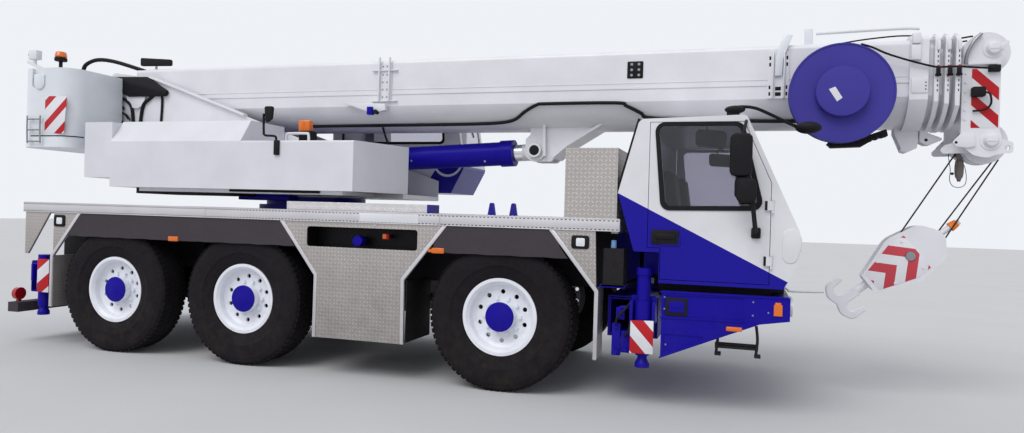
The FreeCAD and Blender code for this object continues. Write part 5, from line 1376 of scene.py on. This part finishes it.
def makeCollarTrim(name):
    # pad keepers round the mouth of a section: slots at its sides, blocks on top, a foot below
    mouth = collarEdge[name]
    half = 421 - (mouth - 3600) / 82 * 3.4
    white = into(name, "whitePaint")
    for side in bothSides.values():
        slots = repeated(rowTree, "blackPaint", None, Count=9, Start=at(mouth - 11, side * half, 2800),
                         Step=(0, 0, 0.042), Size=(0.008, 0.004, 0.02), Turn=(0, 0, 0))
        addMesh(into(name, "blackPaint"), slots)
        addBox(white, mouth - 22, mouth + 6, side * (half - 6), side * (half + 12), 3150, 3230, bevel=4)
        for y in (90, 250):
            addBox(white, mouth - 26, mouth + 8, side * y - 38, side * y + 38, 3270, 3312, bevel=5)
            addRod(into(name, "steel"), (mouth - 10, side * y, 3311), (mouth - 10, side * y, 3322),
                   11, segments=8)
    if name == "boom_section_2":
        lug = [(3610, 2560), (3610, 2390, 10), (3664, 2362, 14), (3706, 2364, 16), (3790, 2402, 10),
               (3796, 2420, 10), (3676, 2470, 10), (3676, 2560)]
        for y in (-80, 62):
            addPlate(white, lug, y, y + 18, bevel=3)
        addRod(into(name, "blackPaint"), (3664, -84, 2404), (3664, 84, 2404), 14, segments=14)


boomLines = (
    # bodies at both ends of a stretch, its first and last place, and the cable's places beside it
    ("boom_base", "boom_section_2", (3580, 3300), (3660, 3300),
     [(3588, -452, 3012), (3630, -451, 3001), (3671, -450, 2995)]),
    ("boom_section_2", "boom_section_3", (3660, 3300), (3742, 3301),
     [(3671, -450, 2995), (3716, -450, 2995), (3761, -450, 2996)]),
    ("boom_section_3", "boom_section_4", (3742, 3301), (3824, 3303),
     [(3761, -450, 2996), (3796, -446, 2997), (3831, -440, 2998)]),
    ("boom_section_4", "boom_head", (3824, 3303), (4010, 3330),
     [(3831, -440, 2998), (3970, -380, 2996), (4144, -330, 2994)]),
)


def makeHeadTrim():
    for side in bothSides.values():
        y = side * 300
        addPlate(into("boom_head", "headStripes"), [(3961, 2485, 6), (4170, 2485, 6), (4170, 2998, 6),
                (3961, 2998, 6)], y - side * 1, y + side * 3, bevel=1)
        for z in (3170, 2374):
            addLathe(into("boom_head", "whitePaint"), [(0, 0), (0, 84), (6, 82), (9, 64), (22, 54),
                    (40, 44), (42, 38), (42, 0)], (4118, y, z), side, 48)
        # lug beside the lower sheaves, bolts and the shaft's keeper
        white = into("boom_head", "whitePaint")
        lug = [(3821, 2362, 18), (3848, 2324, 18), (3931, 2311, 12), (4000, 2325), (3990, 2440),
               (3895, 2446, 10)]
        addPlate(white, lug, y - side * 2, y + side * 22, bevel=3)
        addRod(into("boom_head", "blackPaint"), (3850, y + side * 20, 2358), (3850, y + side * 24, 2358),
               12, segments=14)
        for z in (2560, 2640, 2720, 2800, 2880, 2960, 3040):
            addRod(white, (3912, y - side * 1, z), (3912, y + side * 9, z), 10, segments=8)
        addPlate(white, [(3925, 3030, 8), (4150, 3030, 8), (4150, 3052, 8), (3925, 3052, 8)],
                 y - side * 1, y + side * 26)
        addBox(white, 4080, 4156, y + side * 30, y + side * 46, 3158, 3182, bevel=4)
        addBox(white, 4080, 4156, y + side * 30, y + side * 46, 2362, 2386, bevel=4)
        addPipe(into("boom_head", "steel"), [(3905, y + side * 18, 3040), (3915, y + side * 30, 3130),
                                             (3960, y + side * 34, 3230), (4020, y + side * 20,
                                                     3300)], 15)
        addPlate(white, [(4150, 3190, 10), (4222, 3240, 10), (4240, 3222, 10), (4190, 3150, 10)],
                 y - side * 10, y + side * 12)
    for upper, lower, a, b, c in boomLines:
        ropes = [[(a[0], y, a[1]), ((a[0] + b[0]) / 2, y, (a[1] + b[1]) / 2), (b[0],
                y, b[1])] for y in (-90, 90)]
        makeStretched("rope_to_" + lower, ropes, 8, "ropeSteel")
        makeStretched("cable_to_" + lower, [c], 9, "blackPlastic")
    black = into("boom_head", "blackPlastic")
    addBox(black, 3952, 4053, -385, -300, 2750, 2832, bevel=10)
    addPipe(black, [(4053, -340, 2790), (4090, -350, 2770), (4100, -345, 2690), (4060, -330, 2640),
                    (3970, -320, 2630)], 9)
    addBox(black, 4080, 4170, -345, -300, 2965, 3025, bevel=8)
    for name, x in (("boom_base", 3590), ("boom_section_2", 3671), ("boom_section_3", 3761),
                    ("boom_section_4", 3831)):
        if name != "boom_base":
            clamp = into(name, "blackPaint")
            addBox(clamp, x - 14, x + 14, -462, -405, 2930, 3000, bevel=5)
            addBox(clamp, x - 24, x + 24, -450, -425, 2920, 2940, bevel=4)
            addRod(into(name, "redPaint"), (x, -455, 3004), (x, -430, 3004), 9, segments=10)
            makeCollarTrim(name)


makeHeadTrim()
print("hook and head made")

# every gathered shape becomes one plain mesh that rides on its body
for (body, finish), bm in shapes.items():
    mesh = bpy.data.meshes.new(body + "_" + finish)
    bm.to_mesh(mesh)
    bm.free()
    mesh.materials.clear()
    mesh.materials.append(finishes[finish])
    for face in mesh.polygons:
        face.material_index = 0
        face.use_smooth = True
    mesh.set_sharp_from_angle(angle=math.radians(38))
    piece = bpy.data.objects.new(body + "_" + finish, mesh)
    bpy.context.scene.collection.objects.link(piece)
    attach(piece, body)
    if body.startswith("wheel") and finish == "tyreRubber":
        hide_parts(body.replace("wheel", "tyre"))
    if finish == "weightBody":
        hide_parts("limit_weight")
print("pieces joined:", len(shapes))

# floor, light and camera
floorMesh = bpy.data.meshes.new("floor")
floorShape = bmesh.new()
bmesh.ops.create_grid(floorShape, x_segments=1, y_segments=1, size=60)
floorShape.to_mesh(floorMesh)
floorShape.free()
floor = bpy.data.objects.new("floor", floorMesh)
bpy.context.scene.collection.objects.link(floor)
floorFinish = bpy.data.materials.new("floorFinish")
floorFinish.use_nodes = True
floorTree = floorFinish.node_tree
floorTree.nodes["Principled BSDF"].inputs["Roughness"].default_value = 0.9
floorPlace = node(floorTree, "ShaderNodeTexCoord").outputs["Object"]
floorTone = mixed(floorTree, noise(floorTree, floorPlace, 0.7), (0.52, 0.52, 0.54, 1),
                  (0.58, 0.58, 0.59, 1))
floorTree.links.new(floorTone, floorTree.nodes["Principled BSDF"].inputs["Base Color"])
floorMesh.materials.append(floorFinish)

world = bpy.data.worlds.new("studio")
bpy.context.scene.world = world
world.use_nodes = True
sky = world.node_tree
sky.nodes.clear()
rays = node(sky, "ShaderNodeLightPath").outputs
shown = maths(sky, "MAXIMUM", maths(sky, "MAXIMUM", rays["Is Camera Ray"], rays["Is Glossy Ray"]),
              rays["Is Transmission Ray"])
soft = node(sky, "ShaderNodeBackground", {"Color": (0.93, 0.96, 1.0, 1), "Strength": 0.72})
plain = node(sky, "ShaderNodeBackground", {"Color": (0.86, 0.89, 0.93, 1), "Strength": 1.0})
both = node(sky, "ShaderNodeMixShader", {0: shown, 1: soft.outputs[0], 2: plain.outputs[0]})
out = node(sky, "ShaderNodeOutputWorld", {0: both.outputs[0]})

sunSettings = {"energy": 1.5, "spread": 40, "tilt": 38, "roll": -14}
sun = bpy.data.lights.new("softSun", "SUN")
sun.energy = sunSettings["energy"]
sun.angle = math.radians(sunSettings["spread"])
sun.color = (1.0, 0.99, 0.97)
sunObject = bpy.data.objects.new("softSun", sun)
sunObject.rotation_euler = (math.radians(sunSettings["tilt"]), math.radians(sunSettings["roll"]), 0)
bpy.context.scene.collection.objects.link(sunObject)

cameraSettings = {"x": 2132, "y": -7682, "z": 1618, "yaw": -17.46, "pitch": -0.14, "roll": 1.64,
                  "lens": 26.26}
yaw, pitch, roll = (math.radians(cameraSettings[k]) for k in ("yaw", "pitch", "roll"))
forward = Vector((math.sin(yaw) * math.cos(pitch), math.cos(yaw) * math.cos(pitch), math.sin(pitch)))
level = Vector((math.cos(yaw), -math.sin(yaw), 0))
upright = level.cross(forward)
right = level * math.cos(roll) + upright * math.sin(roll)
up = upright * math.cos(roll) - level * math.sin(roll)
camera = bpy.data.cameras.new("camera")
camera.lens = cameraSettings["lens"]
camera.sensor_width = 36
cameraObject = bpy.data.objects.new("camera", camera)
turn = Matrix((right, up, -forward)).transposed().to_4x4()
cameraObject.matrix_world = Matrix.Translation(
    at(cameraSettings["x"], cameraSettings["y"], cameraSettings["z"])) @ turn
bpy.context.scene.collection.objects.link(cameraObject)
bpy.context.scene.camera = cameraObject
bpy.context.scene.view_settings.view_transform = "Standard"
print("stage set")
